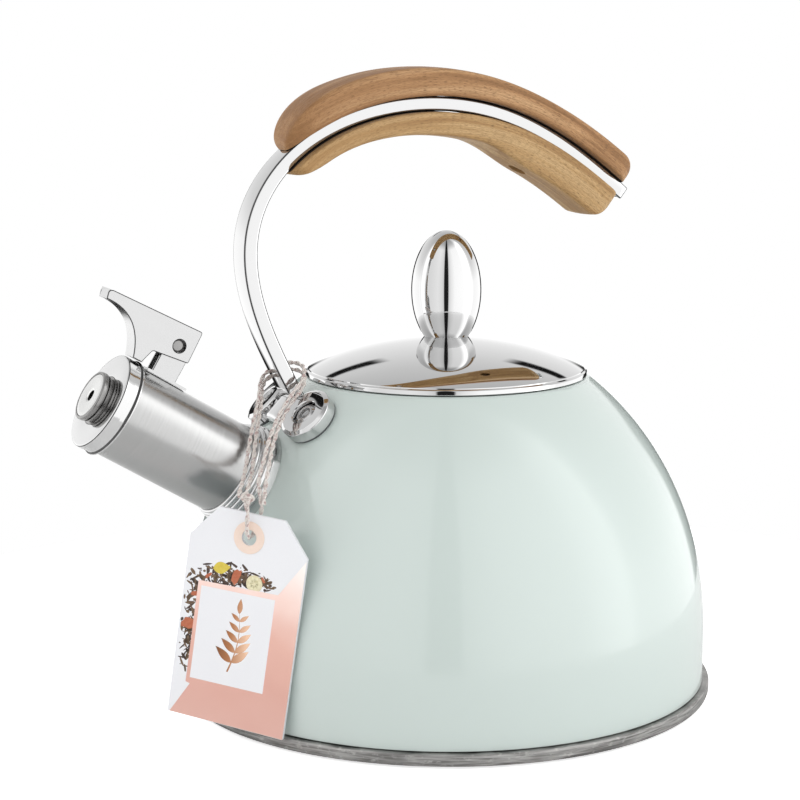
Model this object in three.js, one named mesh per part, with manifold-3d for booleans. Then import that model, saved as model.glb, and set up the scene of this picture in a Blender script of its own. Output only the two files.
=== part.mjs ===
// Stovetop whistling kettle, in millimetres, +Z up. The origin is the centre of the flat underside,
// on the axis of the vessel. The spout points along -X and the free end of the handle along +X.
import * as THREE from 'three';
import { mergeVertices } from 'three/addons/utils/BufferGeometryUtils.js';
import Module from 'manifold-3d';

const wasm = await Module();
wasm.setup();

// ---- Driving dimensions -------------------------------------------------------------------------
const GAP = 0.3;                      // clearance between neighbouring pieces
const ROUND = 40;                     // facets of a large round piece
const MEDIUM = 30;                    // facets of the spout and its cap
const FINE = 16;                      // facets of a small round piece

const BODY_RADIUS = 92.7;             // straight lower wall of the vessel
const WALL_BOTTOM = 5.1;
const WALL_TOP = 21.4;
const DOME_HEIGHT = 111.4;            // height at which the dome's curve would close
const DOME_POWER_R = 1.787;
const DOME_POWER_Z = 2.09;
const SHELL = 1.0;                    // thickness of the enamelled sheet
const MOUTH_RADIUS = 46.5;
const SHOULDER_ANGLE = 0.952;         // parameter of the dome's curve where the mouth lip begins

const RIM_RADIUS = 95;
const RIM_BOTTOM = 0.6;
const RIM_TOP = 4.7;
const DISC_RADIUS = 80.4;
const SHEET = 0.7;

const LID_RADIUS = 49.9;
const LID_BOTTOM = 113.4;
const LID_RISE = 13.2;
const LID_POWER = 1.38;
const KNOB_RADIUS = 12.45;
const KNOB_HALF_HEIGHT = 21.2;
const KNOB_CENTRE = 142.8;

const SPOUT_ELEVATION = 31.36 * Math.PI / 180;
const SPOUT_FOOT = new THREE.Vector3(-80, 0, 83.9);   // where the spout's own frame has its origin
const SPOUT_RADIUS = 15.93;
const SPOUT_WALL = 0.9;
const SPOUT_END = 52.6;
const CAP_RADIUS = 17.26;
const CAP_REAR = 50.3;
const CAP_FACE = 56.1;
const DRUM_RADIUS = 8.7;
const DRUM_PROUD = 4;
const WHISTLE_HOLE = 1.9;

const PIVOT_ALONG = 42.2;             // lever pivot, along the spout from its foot
const PIVOT_ABOVE = 28.1;             // and above the spout's axis
const PIN_RADIUS = 2.4;
const LEVER_HALF_WIDTH = 4.2;

const SADDLE_RADIUS = 61;             // distance of the bracket's foot from the vessel's axis
const LOBE_AZIMUTH = 15 * Math.PI / 180;
const LOBE_RADIUS = 9.6;
const LOBE_HEIGHT = 5;
const GASKET = 0.8;
const SCREW_RADIUS = 2;

const BAR_WIDTH = 10.4;
const BAR_THICKNESS = 5;
const BAR_FOOT = 2.2;                 // where the bar begins, along its centre line
const GRIP_WIDTH = 20;

const TAG_AZIMUTH = 224 * Math.PI / 180;
const TAG_LEAN = 3 * Math.PI / 180;
const TAG_TURN = -7.5 * Math.PI / 180;
const TAG_HOLE = new THREE.Vector3(-90.3, -36.3, 70.6);   // centre of the hole, on the front face
const CARD = 0.45;
const TWINE_RADIUS = 1;

// ---- Materials ----------------------------------------------------------------------------------
function finish(color, roughness, metalness) {
  return new THREE.MeshStandardMaterial({ color, roughness, metalness });
}
const ENAMEL = finish(0xd3e4dc, 0.15, 0);
const BRUSHED = finish(0xb9b9b7, 0.38, 1);
const POLISHED = finish(0xd4d4d4, 0.06, 1);
const ALUMINIUM = finish(0xc4c6c8, 0.45, 1);
const SILICONE = finish(0x8f9496, 0.6, 0);
const DARK_WOOD = finish(0xa57a56, 0.55, 0);
const LIGHT_WOOD = finish(0xbe9466, 0.55, 0);
const SPRING_STEEL = finish(0x8d8d8d, 0.3, 1);
const WHITE_CARD = finish(0xf1f1f3, 0.7, 0);
const PEACH_CARD = finish(0xf0d9cd, 0.7, 0);
const TWINE = finish(0xe6dcd4, 0.9, 0);

// ---- Solids -------------------------------------------------------------------------------------
function toSolid(geometry) {
  const bare = geometry.clone();
  for (const name of Object.keys(bare.attributes)) {
    if (name !== 'position') bare.deleteAttribute(name);
  }
  const merged = mergeVertices(bare, 1e-4);
  const vertProperties = new Float32Array(merged.attributes.position.array);
  const triVerts = new Uint32Array(merged.index.array);
  return new wasm.Manifold(new wasm.Mesh({ numProp: 3, vertProperties, triVerts }));
}

function toGeometry(solid) {
  const mesh = solid.getMesh();
  const geometry = new THREE.BufferGeometry();
  geometry.setAttribute('position', new THREE.BufferAttribute(new Float32Array(mesh.vertProperties), 3));
  geometry.setIndex(new THREE.BufferAttribute(new Uint32Array(mesh.triVerts), 1));
  geometry.computeVertexNormals();
  return geometry;
}

// A solid of revolution about Z from [radius, height] points, listed from the bottom up the outside.
function lathe(points, segments = ROUND) {
  const outline = points.map(([r, z]) => new THREE.Vector2(Math.max(r, 0), z));
  const touchesAxis = outline[0].x === 0 && outline[outline.length - 1].x === 0;
  if (!touchesAxis) outline.push(outline[0].clone());
  return new THREE.LatheGeometry(outline, segments).rotateX(Math.PI / 2);
}

function cylinder(radius, bottom, top, segments = FINE) {
  return lathe([[0, bottom], [radius, bottom], [radius, top], [0, top]], segments);
}

// A flat plate: an outline in the XZ plane, from y = -width/2 to y = width/2 about a centre.
function plate(outline, width, centre = 0) {
  const geometry = new THREE.ExtrudeGeometry(outline, { depth: width, bevelEnabled: false, curveSegments: 8 });
  return geometry.rotateX(Math.PI / 2).translate(0, centre + width / 2, 0);
}

const polygon = (points) => new THREE.Shape(points.map(([x, z]) => new THREE.Vector2(x, z)));

function part(name, geometry, material) {
  const mesh = new THREE.Mesh(geometry, material);
  mesh.name = name;
  return mesh;
}

// ---- The vessel's profile -----------------------------------------------------------------------
function domePoint(angle) {
  const r = BODY_RADIUS * Math.cos(angle) ** (2 / DOME_POWER_R);
  const z = WALL_TOP + DOME_HEIGHT * Math.sin(angle) ** (2 / DOME_POWER_Z);
  return new THREE.Vector2(r, z);
}

function domeNormal(angle) {
  const along = domePoint(angle + 1e-4).sub(domePoint(angle - 1e-4)).normalize();
  return new THREE.Vector2(along.y, -along.x);
}

// The outer profile from the bottom edge to the mouth, moved outwards by a distance.
function bodyProfile(distance, steps = 10) {
  const points = [[BODY_RADIUS + distance, WALL_BOTTOM]];
  for (let i = 0; i <= steps; i++) {
    const angle = SHOULDER_ANGLE * i / steps;
    const at = domePoint(angle);
    if (i > 0) at.addScaledVector(domeNormal(angle), distance);
    else at.x += distance;
    points.push([at.x, at.y]);
  }
  return points;
}

// The parameter of the dome's curve at a given radius.
const domeAngle = (radius) => Math.acos((radius / BODY_RADIUS) ** (DOME_POWER_R / 2));

// Everything inside the vessel's outer surface grown by a distance, to cut what stands on it.
function bodyGrownBy(distance) {
  const points = bodyProfile(distance);
  const top = points[points.length - 1][1];
  return toSolid(lathe([[0, WALL_BOTTOM], ...points, [0, top]]));
}

function bodyShell() {
  const outer = bodyProfile(0);
  const inner = bodyProfile(-SHELL).reverse();
  const lipTop = outer[outer.length - 1][1];
  const lip = [[MOUTH_RADIUS, lipTop], [MOUTH_RADIUS, lipTop - SHELL]];
  const shell = toSolid(lathe([...outer, ...lip, ...inner]));
  const spoutHole = cylinder(SPOUT_RADIUS + 2 * GAP, -30, 30, MEDIUM);
  spoutHole.applyMatrix4(spoutMatrix());
  let solid = shell.subtract(toSolid(spoutHole));
  for (const side of [-1, 1]) {
    const bore = cylinder(SCREW_RADIUS + GAP, -12, 6);
    bore.applyMatrix4(lobeMatrix(side));
    solid = solid.subtract(toSolid(bore));
  }
  return toGeometry(solid);
}

function baseRim() {
  return lathe([
    [DISC_RADIUS + 2, RIM_BOTTOM], [RIM_RADIUS - 1, RIM_BOTTOM], [RIM_RADIUS, RIM_BOTTOM + 0.8],
    [RIM_RADIUS, RIM_TOP - 0.8], [RIM_RADIUS - 1, RIM_TOP], [DISC_RADIUS + 2, RIM_TOP],
  ]);
}

function bottomPan() {
  const radius = BODY_RADIUS - SHELL - GAP;
  const floor = RIM_TOP + GAP;
  const edge = floor + 3;
  return lathe([
    [0, floor], [radius, floor], [radius, edge], [radius - SHEET, edge],
    [radius - SHEET, floor + SHEET], [0, floor + SHEET],
  ]);
}

function baseCover() {
  return lathe([
    [0, 0], [DISC_RADIUS - 0.8, 0], [DISC_RADIUS, 0.8], [DISC_RADIUS, RIM_TOP],
    [DISC_RADIUS - SHEET, RIM_TOP], [DISC_RADIUS - SHEET, SHEET], [0, SHEET],
  ]);
}

function heatDisc() {
  return cylinder(DISC_RADIUS - SHEET - GAP, SHEET + GAP, RIM_TOP, ROUND);
}

// ---- Lid ----------------------------------------------------------------------------------------
function lidPoint(angle, inset) {
  const r = (LID_RADIUS - inset) * Math.cos(angle) ** (2 / LID_POWER);
  return [r, LID_BOTTOM + (LID_RISE - inset) * Math.sin(angle)];
}

function lidCover() {
  const steps = 7;
  const screwHole = SCREW_RADIUS + GAP;
  const last = Math.acos((screwHole / LID_RADIUS) ** (LID_POWER / 2));
  const outer = [];
  const inner = [];
  for (let i = 0; i <= steps; i++) {
    const angle = last * i / steps;
    outer.push(lidPoint(angle, 0));
    inner.unshift(lidPoint(angle, SHEET));
  }
  inner[0][0] = screwHole;
  outer[steps][0] = screwHole;
  return lathe([...outer, ...inner]);
}

function lidSkirt() {
  const radius = MOUTH_RADIUS - 0.9;
  const top = LID_BOTTOM + 2.6;
  return lathe([
    [radius - SHEET, LID_BOTTOM - 8.5], [radius, LID_BOTTOM - 8.5], [radius, top], [radius - SHEET, top],
  ]);
}

function lidKnob() {
  const foot = LID_BOTTOM + LID_RISE + GAP;
  const boreTop = foot + 10;
  const footAngle = Math.asin((foot - KNOB_CENTRE) / KNOB_HALF_HEIGHT);
  const steps = 11;
  const points = [[0, boreTop], [SCREW_RADIUS + GAP, boreTop], [SCREW_RADIUS + GAP, foot]];
  for (let i = 0; i <= steps; i++) {
    const angle = footAngle + (Math.PI / 2 - footAngle) * i / steps;
    const radius = i === steps ? 0 : KNOB_RADIUS * Math.cos(angle);
    points.push([radius, KNOB_CENTRE + KNOB_HALF_HEIGHT * Math.sin(angle)]);
  }
  return lathe(points, 28);
}

const LID_INSIDE = LID_BOTTOM + LID_RISE - SHEET - 0.3;   // underside of the dome at the screw

function knobWasher() {
  const top = LID_INSIDE - GAP;
  const bore = SCREW_RADIUS + GAP;
  return lathe([[bore, top - 0.7], [5.5, top - 0.7], [5.5, top], [bore, top]], FINE);
}

function knobScrew() {
  const headTop = LID_INSIDE - 2 * GAP - 0.7;
  return lathe([
    [0, headTop - 2.2], [3.4, headTop - 2.2], [4, headTop - 1.4], [4, headTop],
    [SCREW_RADIUS, headTop], [SCREW_RADIUS, headTop + 11], [0, headTop + 11],
  ], FINE);
}

// ---- Spout, in its own frame: +Z along the spout, +X above it ------------------------------------
function spoutMatrix() {
  const matrix = new THREE.Matrix4().makeRotationY(SPOUT_ELEVATION - Math.PI / 2);
  return matrix.setPosition(SPOUT_FOOT);
}

function spoutTube() {
  const inner = SPOUT_RADIUS - SPOUT_WALL;
  return lathe([[inner, -12], [SPOUT_RADIUS, -12], [SPOUT_RADIUS, SPOUT_END], [inner, SPOUT_END]], MEDIUM);
}

function spoutCollar() {
  const bore = SPOUT_RADIUS + GAP;
  const ring = lathe([
    [bore, -16], [20.5, -16], [20.5, -1], [19.2, -0.4], [19.2, 1.2], [18.2, 1.6],
    [18.2, 3], [17.2, 3.4], [17.2, 5], [bore, 5],
  ], MEDIUM);
  ring.applyMatrix4(spoutMatrix());
  const solid = toSolid(ring).subtract(bodyGrownBy(GAP));
  return toGeometry(solid).applyMatrix4(spoutMatrix().invert());
}

function spoutCap() {
  return lathe([
    [CAP_RADIUS - SHEET, CAP_REAR], [CAP_RADIUS, CAP_REAR], [CAP_RADIUS, CAP_FACE - 0.6],
    [CAP_RADIUS - 0.6, CAP_FACE], [DRUM_RADIUS + GAP, CAP_FACE], [DRUM_RADIUS + GAP, CAP_FACE - SHEET],
    [CAP_RADIUS - SHEET, CAP_FACE - SHEET],
  ], MEDIUM);
}

function whistleDrum() {
  const top = CAP_FACE + DRUM_PROUD - 1.1;
  const bore = DRUM_RADIUS - 1.5;
  return lathe([
    [bore, 53], [DRUM_RADIUS, 53], [DRUM_RADIUS, CAP_FACE + 0.4], [DRUM_RADIUS - 0.6, CAP_FACE + 0.9],
    [DRUM_RADIUS, CAP_FACE + 1.4], [DRUM_RADIUS, top - 0.9], [DRUM_RADIUS - 0.6, top - 0.4],
    [DRUM_RADIUS - 0.6, top], [bore, top],
  ], 28);
}

function whistleDisc(bottom, radius) {
  return lathe([
    [WHISTLE_HOLE, bottom], [radius, bottom], [radius, bottom + 0.8], [WHISTLE_HOLE, bottom + 0.8],
  ], 28);
}

// Outline of the lever's side plate: x is the height above the spout's axis, z the way along it.
function leverOutline() {
  const tip = [33.7, 72.4];
  const shape = new THREE.Shape();
  shape.moveTo(...tip);
  shape.lineTo(35.9, 37);
  shape.lineTo(24.4, 36.5);
  shape.lineTo(22.5, 49.6);
  shape.lineTo(CAP_RADIUS + GAP, 51.2);
  shape.lineTo(CAP_RADIUS + GAP, 54.6);
  shape.bezierCurveTo(23.6, 56.6, 31.2, 61, 30, 72.2);
  return shape;
}

// The web is the same curve with a thickness, between the two side plates.
function leverWeb() {
  const web = new THREE.Shape();
  web.moveTo(33.7, 72.4);
  web.lineTo(33.7, 70.4);
  web.bezierCurveTo(32.4, 59.6, 24.2, 55.2, CAP_RADIUS + GAP, 53.4);
  web.lineTo(CAP_RADIUS + GAP, 54.6);
  web.bezierCurveTo(23.6, 56.6, 31.2, 61, 30, 72.2);
  return web;
}

function whistleLever() {
  const sheet = 1;
  const side = LEVER_HALF_WIDTH - sheet / 2;
  let solid = toSolid(plate(leverWeb(), 2 * LEVER_HALF_WIDTH - 0.02));
  for (const centre of [-side, side]) solid = solid.add(toSolid(plate(leverOutline(), sheet, centre)));
  const foot = polygon([
    [CAP_RADIUS + GAP, 50.8], [CAP_RADIUS + GAP + sheet, 50.8],
    [CAP_RADIUS + GAP + sheet, 54.6], [CAP_RADIUS + GAP, 54.6],
  ]);
  solid = solid.add(toSolid(plate(foot, 2 * LEVER_HALF_WIDTH - 0.02)));
  return toGeometry(solid.subtract(toSolid(acrossPivot(PIN_RADIUS + GAP + 0.05, 20))));
}

// A cylinder along the lever's pivot axis.
function acrossPivot(radius, width) {
  const pin = cylinder(radius, -width / 2, width / 2);
  return pin.rotateX(Math.PI / 2).translate(PIVOT_ABOVE, 0, PIVOT_ALONG);
}

function leverBracket() {
  const sheet = 1;
  const outer = LEVER_HALF_WIDTH - 1 - GAP;
  const footBottom = SPOUT_RADIUS + GAP;
  const ear = new THREE.Shape();
  ear.moveTo(footBottom, 36.8);
  ear.lineTo(footBottom, 46);
  ear.lineTo(PIVOT_ABOVE, 46);
  ear.quadraticCurveTo(PIVOT_ABOVE + 4.6, 45.6, PIVOT_ABOVE + 4.6, PIVOT_ALONG);
  ear.quadraticCurveTo(PIVOT_ABOVE + 4.6, 37.6, PIVOT_ABOVE, 37.2);
  const foot = polygon([
    [footBottom, 32.2], [footBottom, 47.6], [footBottom + sheet, 47.6], [footBottom + sheet, 32.2],
  ]);
  let solid = toSolid(plate(foot, 2 * outer));
  for (const side of [-1, 1]) solid = solid.add(toSolid(plate(ear, sheet, side * (outer - sheet / 2))));
  return toGeometry(solid.subtract(toSolid(acrossPivot(PIN_RADIUS + GAP, 20))));
}

function torsionSpring() {
  const coil = PIN_RADIUS + GAP + 0.75;
  const turns = 2.5;
  const reach = 5;
  const pitch = 1.05;
  const points = [];
  const steps = 30;
  const startAngle = -Math.PI / 2;
  const width = (angle) => ((angle - startAngle) / (2 * Math.PI) - turns / 2) * pitch;
  const onCoil = (angle) => new THREE.Vector3(
    PIVOT_ABOVE + coil * Math.cos(angle), width(angle), PIVOT_ALONG + coil * Math.sin(angle));
  const first = onCoil(startAngle);
  const endAngle = startAngle + 2 * Math.PI * turns;
  const last = onCoil(endAngle);
  points.push(first.clone().add(new THREE.Vector3(-reach, 0, 0)));
  for (let i = 0; i <= steps; i++) points.push(onCoil(startAngle + (endAngle - startAngle) * i / steps));
  points.push(last.clone().add(new THREE.Vector3(-reach, 0, 0)));
  return tube(points, 0.35, 44, 6);
}

// A tube through points, with a regular section.
function tube(points, radius, steps, sides = 8) {
  const section = polygon(Array.from({ length: sides }, (_, i) => {
    const angle = 2 * Math.PI * i / sides;
    return [radius * Math.cos(angle), radius * Math.sin(angle)];
  }));
  const extrudePath = new THREE.CatmullRomCurve3(points, false, 'centripetal');
  return new THREE.ExtrudeGeometry(section, { steps, extrudePath });
}

// ---- Handle bracket, standing on the shoulder of the vessel --------------------------------------
// A frame on the shoulder: +Z along the outward normal, +X down the slope, away from the lid.
function lobeMatrix(side) {
  const angle = domeAngle(SADDLE_RADIUS);
  const at = domePoint(angle);
  const normal = domeNormal(angle);
  const tilt = Math.atan2(normal.x, normal.y);
  const azimuth = Math.PI + side * LOBE_AZIMUTH;
  const lean = new THREE.Matrix4().makeRotationY(tilt);
  const place = new THREE.Matrix4().makeTranslation(at.x, 0, at.y);
  const turn = new THREE.Matrix4().makeRotationZ(azimuth);
  return turn.multiply(place).multiply(lean);
}

function handleBracket() {
  const edge = 1.4;
  let solid = null;
  for (const side of [-1, 1]) {
    const lobe = lathe([
      [0, -9], [LOBE_RADIUS, -9], [LOBE_RADIUS, LOBE_HEIGHT - edge], [LOBE_RADIUS - 0.4, LOBE_HEIGHT - 0.4],
      [LOBE_RADIUS - edge, LOBE_HEIGHT], [0, LOBE_HEIGHT],
    ], 28);
    lobe.applyMatrix4(lobeMatrix(side));
    solid = solid ? solid.add(toSolid(lobe)) : toSolid(lobe);
  }
  const waist = new THREE.Shape();
  waist.moveTo(-8, -14);
  waist.quadraticCurveTo(-4, 0, -8, 14);
  waist.lineTo(8, 14);
  waist.quadraticCurveTo(2.4, 0, 8, -14);
  const depth = LOBE_HEIGHT + 8.6;
  const bridge = new THREE.ExtrudeGeometry(waist, { depth, bevelEnabled: false, curveSegments: 6 });
  bridge.translate(0, 0, -9);
  bridge.applyMatrix4(lobeMatrix(0));
  solid = solid.add(toSolid(bridge));
  for (const side of [-1, 1]) {
    const recess = cylinder(4.6, 2.2, 9);
    const bore = cylinder(SCREW_RADIUS + GAP, -12, 9);
    recess.applyMatrix4(lobeMatrix(side));
    bore.applyMatrix4(lobeMatrix(side));
    solid = solid.subtract(toSolid(recess)).subtract(toSolid(bore));
  }
  const socket = plate(barOutline(GAP), BAR_WIDTH + 2 * GAP);
  solid = solid.subtract(toSolid(socket));
  return toGeometry(solid.subtract(bodyGrownBy(2 * GAP + GASKET)));
}

function bracketGasket() {
  const layer = bodyGrownBy(GAP + GASKET).subtract(bodyGrownBy(GAP));
  let solid = null;
  for (const side of [-1, 1]) {
    const ring = lathe([
      [SCREW_RADIUS + GAP, -9], [LOBE_RADIUS + 0.5, -9], [LOBE_RADIUS + 0.5, 6], [SCREW_RADIUS + GAP, 6],
    ], 28);
    ring.applyMatrix4(lobeMatrix(side));
    solid = solid ? solid.add(toSolid(ring)) : toSolid(ring);
  }
  const bridge = new THREE.BoxGeometry(10, 15, 20).applyMatrix4(lobeMatrix(0));
  return toGeometry(solid.add(toSolid(bridge)).intersect(layer));
}

// Screw and nut are drawn in the frame of their lobe.
function bracketScrew() {
  return lathe([
    [0, -8], [SCREW_RADIUS, -8], [SCREW_RADIUS, 2.5], [4.2, 2.5], [4.2, 3.6], [3.2, 4.4], [0, 4.6],
  ], FINE);
}

// The nut's hexagonal bore clears the screw with its flats.
function bracketNut() {
  const bore = (SCREW_RADIUS + GAP) / Math.cos(Math.PI / 6);
  return lathe([[bore, -5.6], [4.4, -5.6], [4.4, -2.4], [bore, -2.4]], 6);
}

// ---- Handle bar and grips, drawn in the XZ plane -------------------------------------------------
const BAR_PATH = (() => {
  const at = (x, z) => new THREE.Vector2(x, z);
  const path = new THREE.CurvePath();
  path.add(new THREE.CubicBezierCurve(at(-58.2, 107.6), at(-66.3, 123.6), at(-75.9, 140.5), at(-75.9, 158.5)));
  path.add(new THREE.CubicBezierCurve(at(-75.9, 158.5), at(-75.9, 188.5), at(-45, 208.1), at(-9, 208.1)));
  path.add(new THREE.CubicBezierCurve(at(-9, 208.1), at(24, 208.1), at(47.6, 192.3), at(69.7, 174.6)));
  return path;
})();

// A point beside the bar's centre line, at a share of its length, towards the outside of the arch.
function besideBar(share, distance) {
  const at = BAR_PATH.getPointAt(share);
  const along = BAR_PATH.getTangentAt(share);
  return new THREE.Vector2(at.x - along.y * distance, at.y + along.x * distance);
}

// The outline between two shares of the bar's length, with points closer together near its ends.
function alongBar(from, to, inner, outer, steps) {
  const shares = Array.from({ length: steps + 1 }, (_, i) => {
    return from + (to - from) * (1 - Math.cos(Math.PI * i / steps)) / 2;
  });
  const far = shares.map((share) => besideBar(share, outer(share)));
  const near = shares.map((share) => besideBar(share, inner(share)));
  return new THREE.Shape([...far, ...near.reverse()]);
}

// The bar's own outline, or one grown all round except at its free end.
function barOutline(grow = 0) {
  const half = BAR_THICKNESS / 2 + grow;
  const foot = (BAR_FOOT - grow) / BAR_PATH.getLength();
  return alongBar(foot, 1, () => -half, () => half, 34);
}

const SEAT = BAR_THICKNESS / 2 + GAP + 0.1;
const UPPER_START = 0.392;
const UPPER_END = 0.988;
const LOWER_START = 0.372;
const LOWER_END = 0.988;
const { smoothstep } = THREE.MathUtils;

// Rounds off a grip's two ends: 0 at either end, 1 beyond the given lengths.
function roundedEnds(share, from, to, fromLength, toLength) {
  const start = Math.min(1, Math.max(0, (share - from) / fromLength));
  const end = Math.min(1, Math.max(0, (to - share) / toLength));
  return Math.sqrt(1 - (1 - start) ** 2) * Math.sqrt(1 - (1 - end) ** 2);
}

function upperThickness(share) {
  const level = 9.9 - 2.4 * smoothstep(share, 0.55, 0.85);
  return 0.3 + level * roundedEnds(share, UPPER_START, UPPER_END, 0.1, 0.035);
}

function lowerThickness(share) {
  const level = 5.6 + 3 * smoothstep(share, 0.42, 0.72) + 3.8 * smoothstep(share, 0.7, 0.83);
  return 0.3 + level * roundedEnds(share, LOWER_START, LOWER_END, 0.06, 0.03);
}

function gripSolid(from, to, near, far) {
  return toSolid(plate(alongBar(from, to, near, far, 26), GRIP_WIDTH));
}

// Two screws hold the grips to the bar. Their heads sit in counterbores under the lower grip.
const SCREW_SHARES = [0.47, 0.82];    // of the bar's length
const SHANK = 1.7;
const HEAD_RADIUS = 3;
const SCREW_SEAT = -6.5;              // from the bar's centre line, outwards

// A screw's frame: origin on the bar's centre line, +Z towards the outside of the arch.
function screwMatrix(share) {
  const at = BAR_PATH.getPointAt(share);
  const along = BAR_PATH.getTangentAt(share);
  const tilt = -Math.atan2(along.y, along.x);
  return new THREE.Matrix4().makeRotationY(tilt).setPosition(at.x, 0, at.y);
}

function cutBores(solid, radius, bottom, top) {
  for (const share of SCREW_SHARES) {
    const bore = cylinder(radius, bottom, top, 20);
    bore.applyMatrix4(screwMatrix(share));
    solid = solid.subtract(toSolid(bore));
  }
  return solid;
}

function handleBar() {
  const solid = toSolid(plate(barOutline(), BAR_WIDTH));
  return toGeometry(cutBores(solid, SHANK + GAP, -9, 9));
}

function upperGrip() {
  const solid = gripSolid(UPPER_START, UPPER_END, () => SEAT, (s) => SEAT + upperThickness(s));
  return toGeometry(cutBores(solid, SHANK + GAP, 0, 7));
}

function lowerGrip() {
  const solid = gripSolid(LOWER_START, LOWER_END, (s) => -SEAT - lowerThickness(s), () => -SEAT);
  return toGeometry(cutBores(cutBores(solid, SHANK + GAP, -30, 0), HEAD_RADIUS + 0.4, -30, SCREW_SEAT));
}

function gripScrew() {
  const headTop = SCREW_SEAT - GAP;
  return lathe([
    [0, headTop - 1.8], [HEAD_RADIUS - 0.6, headTop - 1.8], [HEAD_RADIUS, headTop - 1.2],
    [HEAD_RADIUS, headTop], [SHANK, headTop], [SHANK, 6.6], [0, 6.6],
  ], 20);
}

// ---- Hang tag, in its own frame: origin at the hole on the front face, +X right, +Y up -----------
const TAG_WIDTH = 42;
const TAG_TOP = 8;
const TAG_BOTTOM = -64;
const TAG_CHAMFER = [9.3, 10.9];
const TAG_HOLE_RADIUS = 2.6;

function tagMatrix() {
  const facing = new THREE.Vector3(
    Math.cos(TAG_AZIMUTH) * Math.cos(TAG_LEAN), Math.sin(TAG_AZIMUTH) * Math.cos(TAG_LEAN), Math.sin(TAG_LEAN));
  const right = new THREE.Vector3(-Math.sin(TAG_AZIMUTH), Math.cos(TAG_AZIMUTH), 0);
  const up = facing.clone().cross(right);
  const turn = new THREE.Matrix4().makeRotationZ(TAG_TURN);
  return new THREE.Matrix4().makeBasis(right, up, facing).multiply(turn).setPosition(TAG_HOLE);
}

function tagCard(front) {
  const half = TAG_WIDTH / 2;
  const [chamferX, chamferY] = TAG_CHAMFER;
  const card = polygon([
    [-half, TAG_BOTTOM], [half, TAG_BOTTOM], [half, TAG_TOP - chamferY], [half - chamferX, TAG_TOP],
    [chamferX - half, TAG_TOP], [-half, TAG_TOP - chamferY],
  ]);
  card.holes.push(new THREE.Path().absarc(0, 0, TAG_HOLE_RADIUS, 0, 2 * Math.PI, true));
  const geometry = new THREE.ExtrudeGeometry(card, { depth: CARD, bevelEnabled: false, curveSegments: 10 });
  return geometry.translate(0, 0, front - CARD);
}

function tagRing() {
  return lathe([
    [TAG_HOLE_RADIUS, GAP], [5.4, GAP], [5.4, GAP + 0.3], [TAG_HOLE_RADIUS, GAP + 0.3],
  ], 32);
}

// ---- Twine: one cord, twice round the foot of the arm and once through the tag --------------------
// Both turns pass the same places, the second a little to one side of the first.
const TURN_POINTS = [
  [-84.2, -33.4, 88.3], [-80.2, -27.6, 93.6], [-75.7, -21.2, 99.2], [-70.2, -15.6, 105.2],
  [-64.2, -11, 110.4], [-58.9, -8.4, 115], [-56.2, -3, 118.2], [-57, 4, 119],
  [-60.4, 8.2, 117.8], [-65.2, 8, 115.6], [-68.6, 4.4, 113.6], [-72.2, -2.6, 109.4],
  [-76.6, -9.6, 103.4], [-81, -16.6, 96.8], [-85.4, -24.4, 90],
];

function twinePoints() {
  const right = new THREE.Vector3(-Math.sin(TAG_AZIMUTH), Math.cos(TAG_AZIMUTH), 0);
  const turn = (shift, lift) => TURN_POINTS.map(([x, y, z], i) => {
    const along = Math.sin(Math.PI * i / (TURN_POINTS.length - 1));
    const point = new THREE.Vector3(x, y, z).addScaledVector(right, shift * (1 - along));
    return point.add(new THREE.Vector3(0, 0, lift * along));
  });
  const onTag = (x, y, out) => new THREE.Vector3(x, y, out).applyMatrix4(tagMatrix());
  const throughHole = [
    onTag(-0.6, 8.6, 2.6), onTag(-0.4, 4.2, 2.4), onTag(0, 0.6, 1.2), onTag(0.2, 0.2, -1.4),
    onTag(0.9, 4.2, -3.4), onTag(1.9, 9.2, -2.6),
  ];
  return [
    onTag(4.4, 12.4, 2.2), ...turn(1.3, -1.2), onTag(-1.8, 12.6, 2.6), ...throughHole,
    onTag(2.4, 13, 0.2), ...turn(-1.3, 1.2), onTag(-4.4, 13.4, 3),
  ];
}

function twine() {
  return tube(twinePoints(), TWINE_RADIUS, 66);
}

function twineKnot() {
  const half = 2.6;
  const points = Array.from({ length: 9 }, (_, i) => {
    const angle = -Math.PI / 2 + Math.PI * i / 8;
    return [i === 0 || i === 8 ? 0 : half * Math.cos(angle), 3 * Math.sin(angle)];
  });
  return lathe(points, 14);
}

// ---- Assembly -----------------------------------------------------------------------------------
const kettle = new THREE.Group();

kettle.add(
  part('body_shell', bodyShell(), ENAMEL),
  part('base_rim', baseRim(), BRUSHED),
  part('bottom_pan', bottomPan(), BRUSHED),
  part('heat_disc', heatDisc(), ALUMINIUM),
  part('base_cover', baseCover(), BRUSHED),
);

const lid = new THREE.Group();
lid.add(
  part('lid_cover', lidCover(), POLISHED),
  part('lid_skirt', lidSkirt(), BRUSHED),
  part('lid_knob', lidKnob(), POLISHED),
  part('knob_washer', knobWasher(), BRUSHED),
  part('knob_screw', knobScrew(), BRUSHED),
);
kettle.add(lid);

const spout = new THREE.Group();
spout.position.copy(SPOUT_FOOT);
spout.rotation.y = SPOUT_ELEVATION - Math.PI / 2;
spout.add(
  part('spout_tube', spoutTube(), BRUSHED),
  part('spout_collar', spoutCollar(), POLISHED),
  part('lever_bracket', leverBracket(), BRUSHED),
  part('pivot_pin', acrossPivot(PIN_RADIUS, 2 * LEVER_HALF_WIDTH - 1), BRUSHED),
  part('torsion_spring', torsionSpring(), SPRING_STEEL),
  part('whistle_lever', whistleLever(), BRUSHED),
  part('spout_cap', spoutCap(), POLISHED),
  part('whistle_drum', whistleDrum(), BRUSHED),
  part('whistle_front_disc', whistleDisc(CAP_FACE + DRUM_PROUD - 0.8, DRUM_RADIUS - 0.9), BRUSHED),
  part('whistle_rear_disc', whistleDisc(53 - GAP - 0.8, DRUM_RADIUS), BRUSHED),
);
kettle.add(spout);

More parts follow.
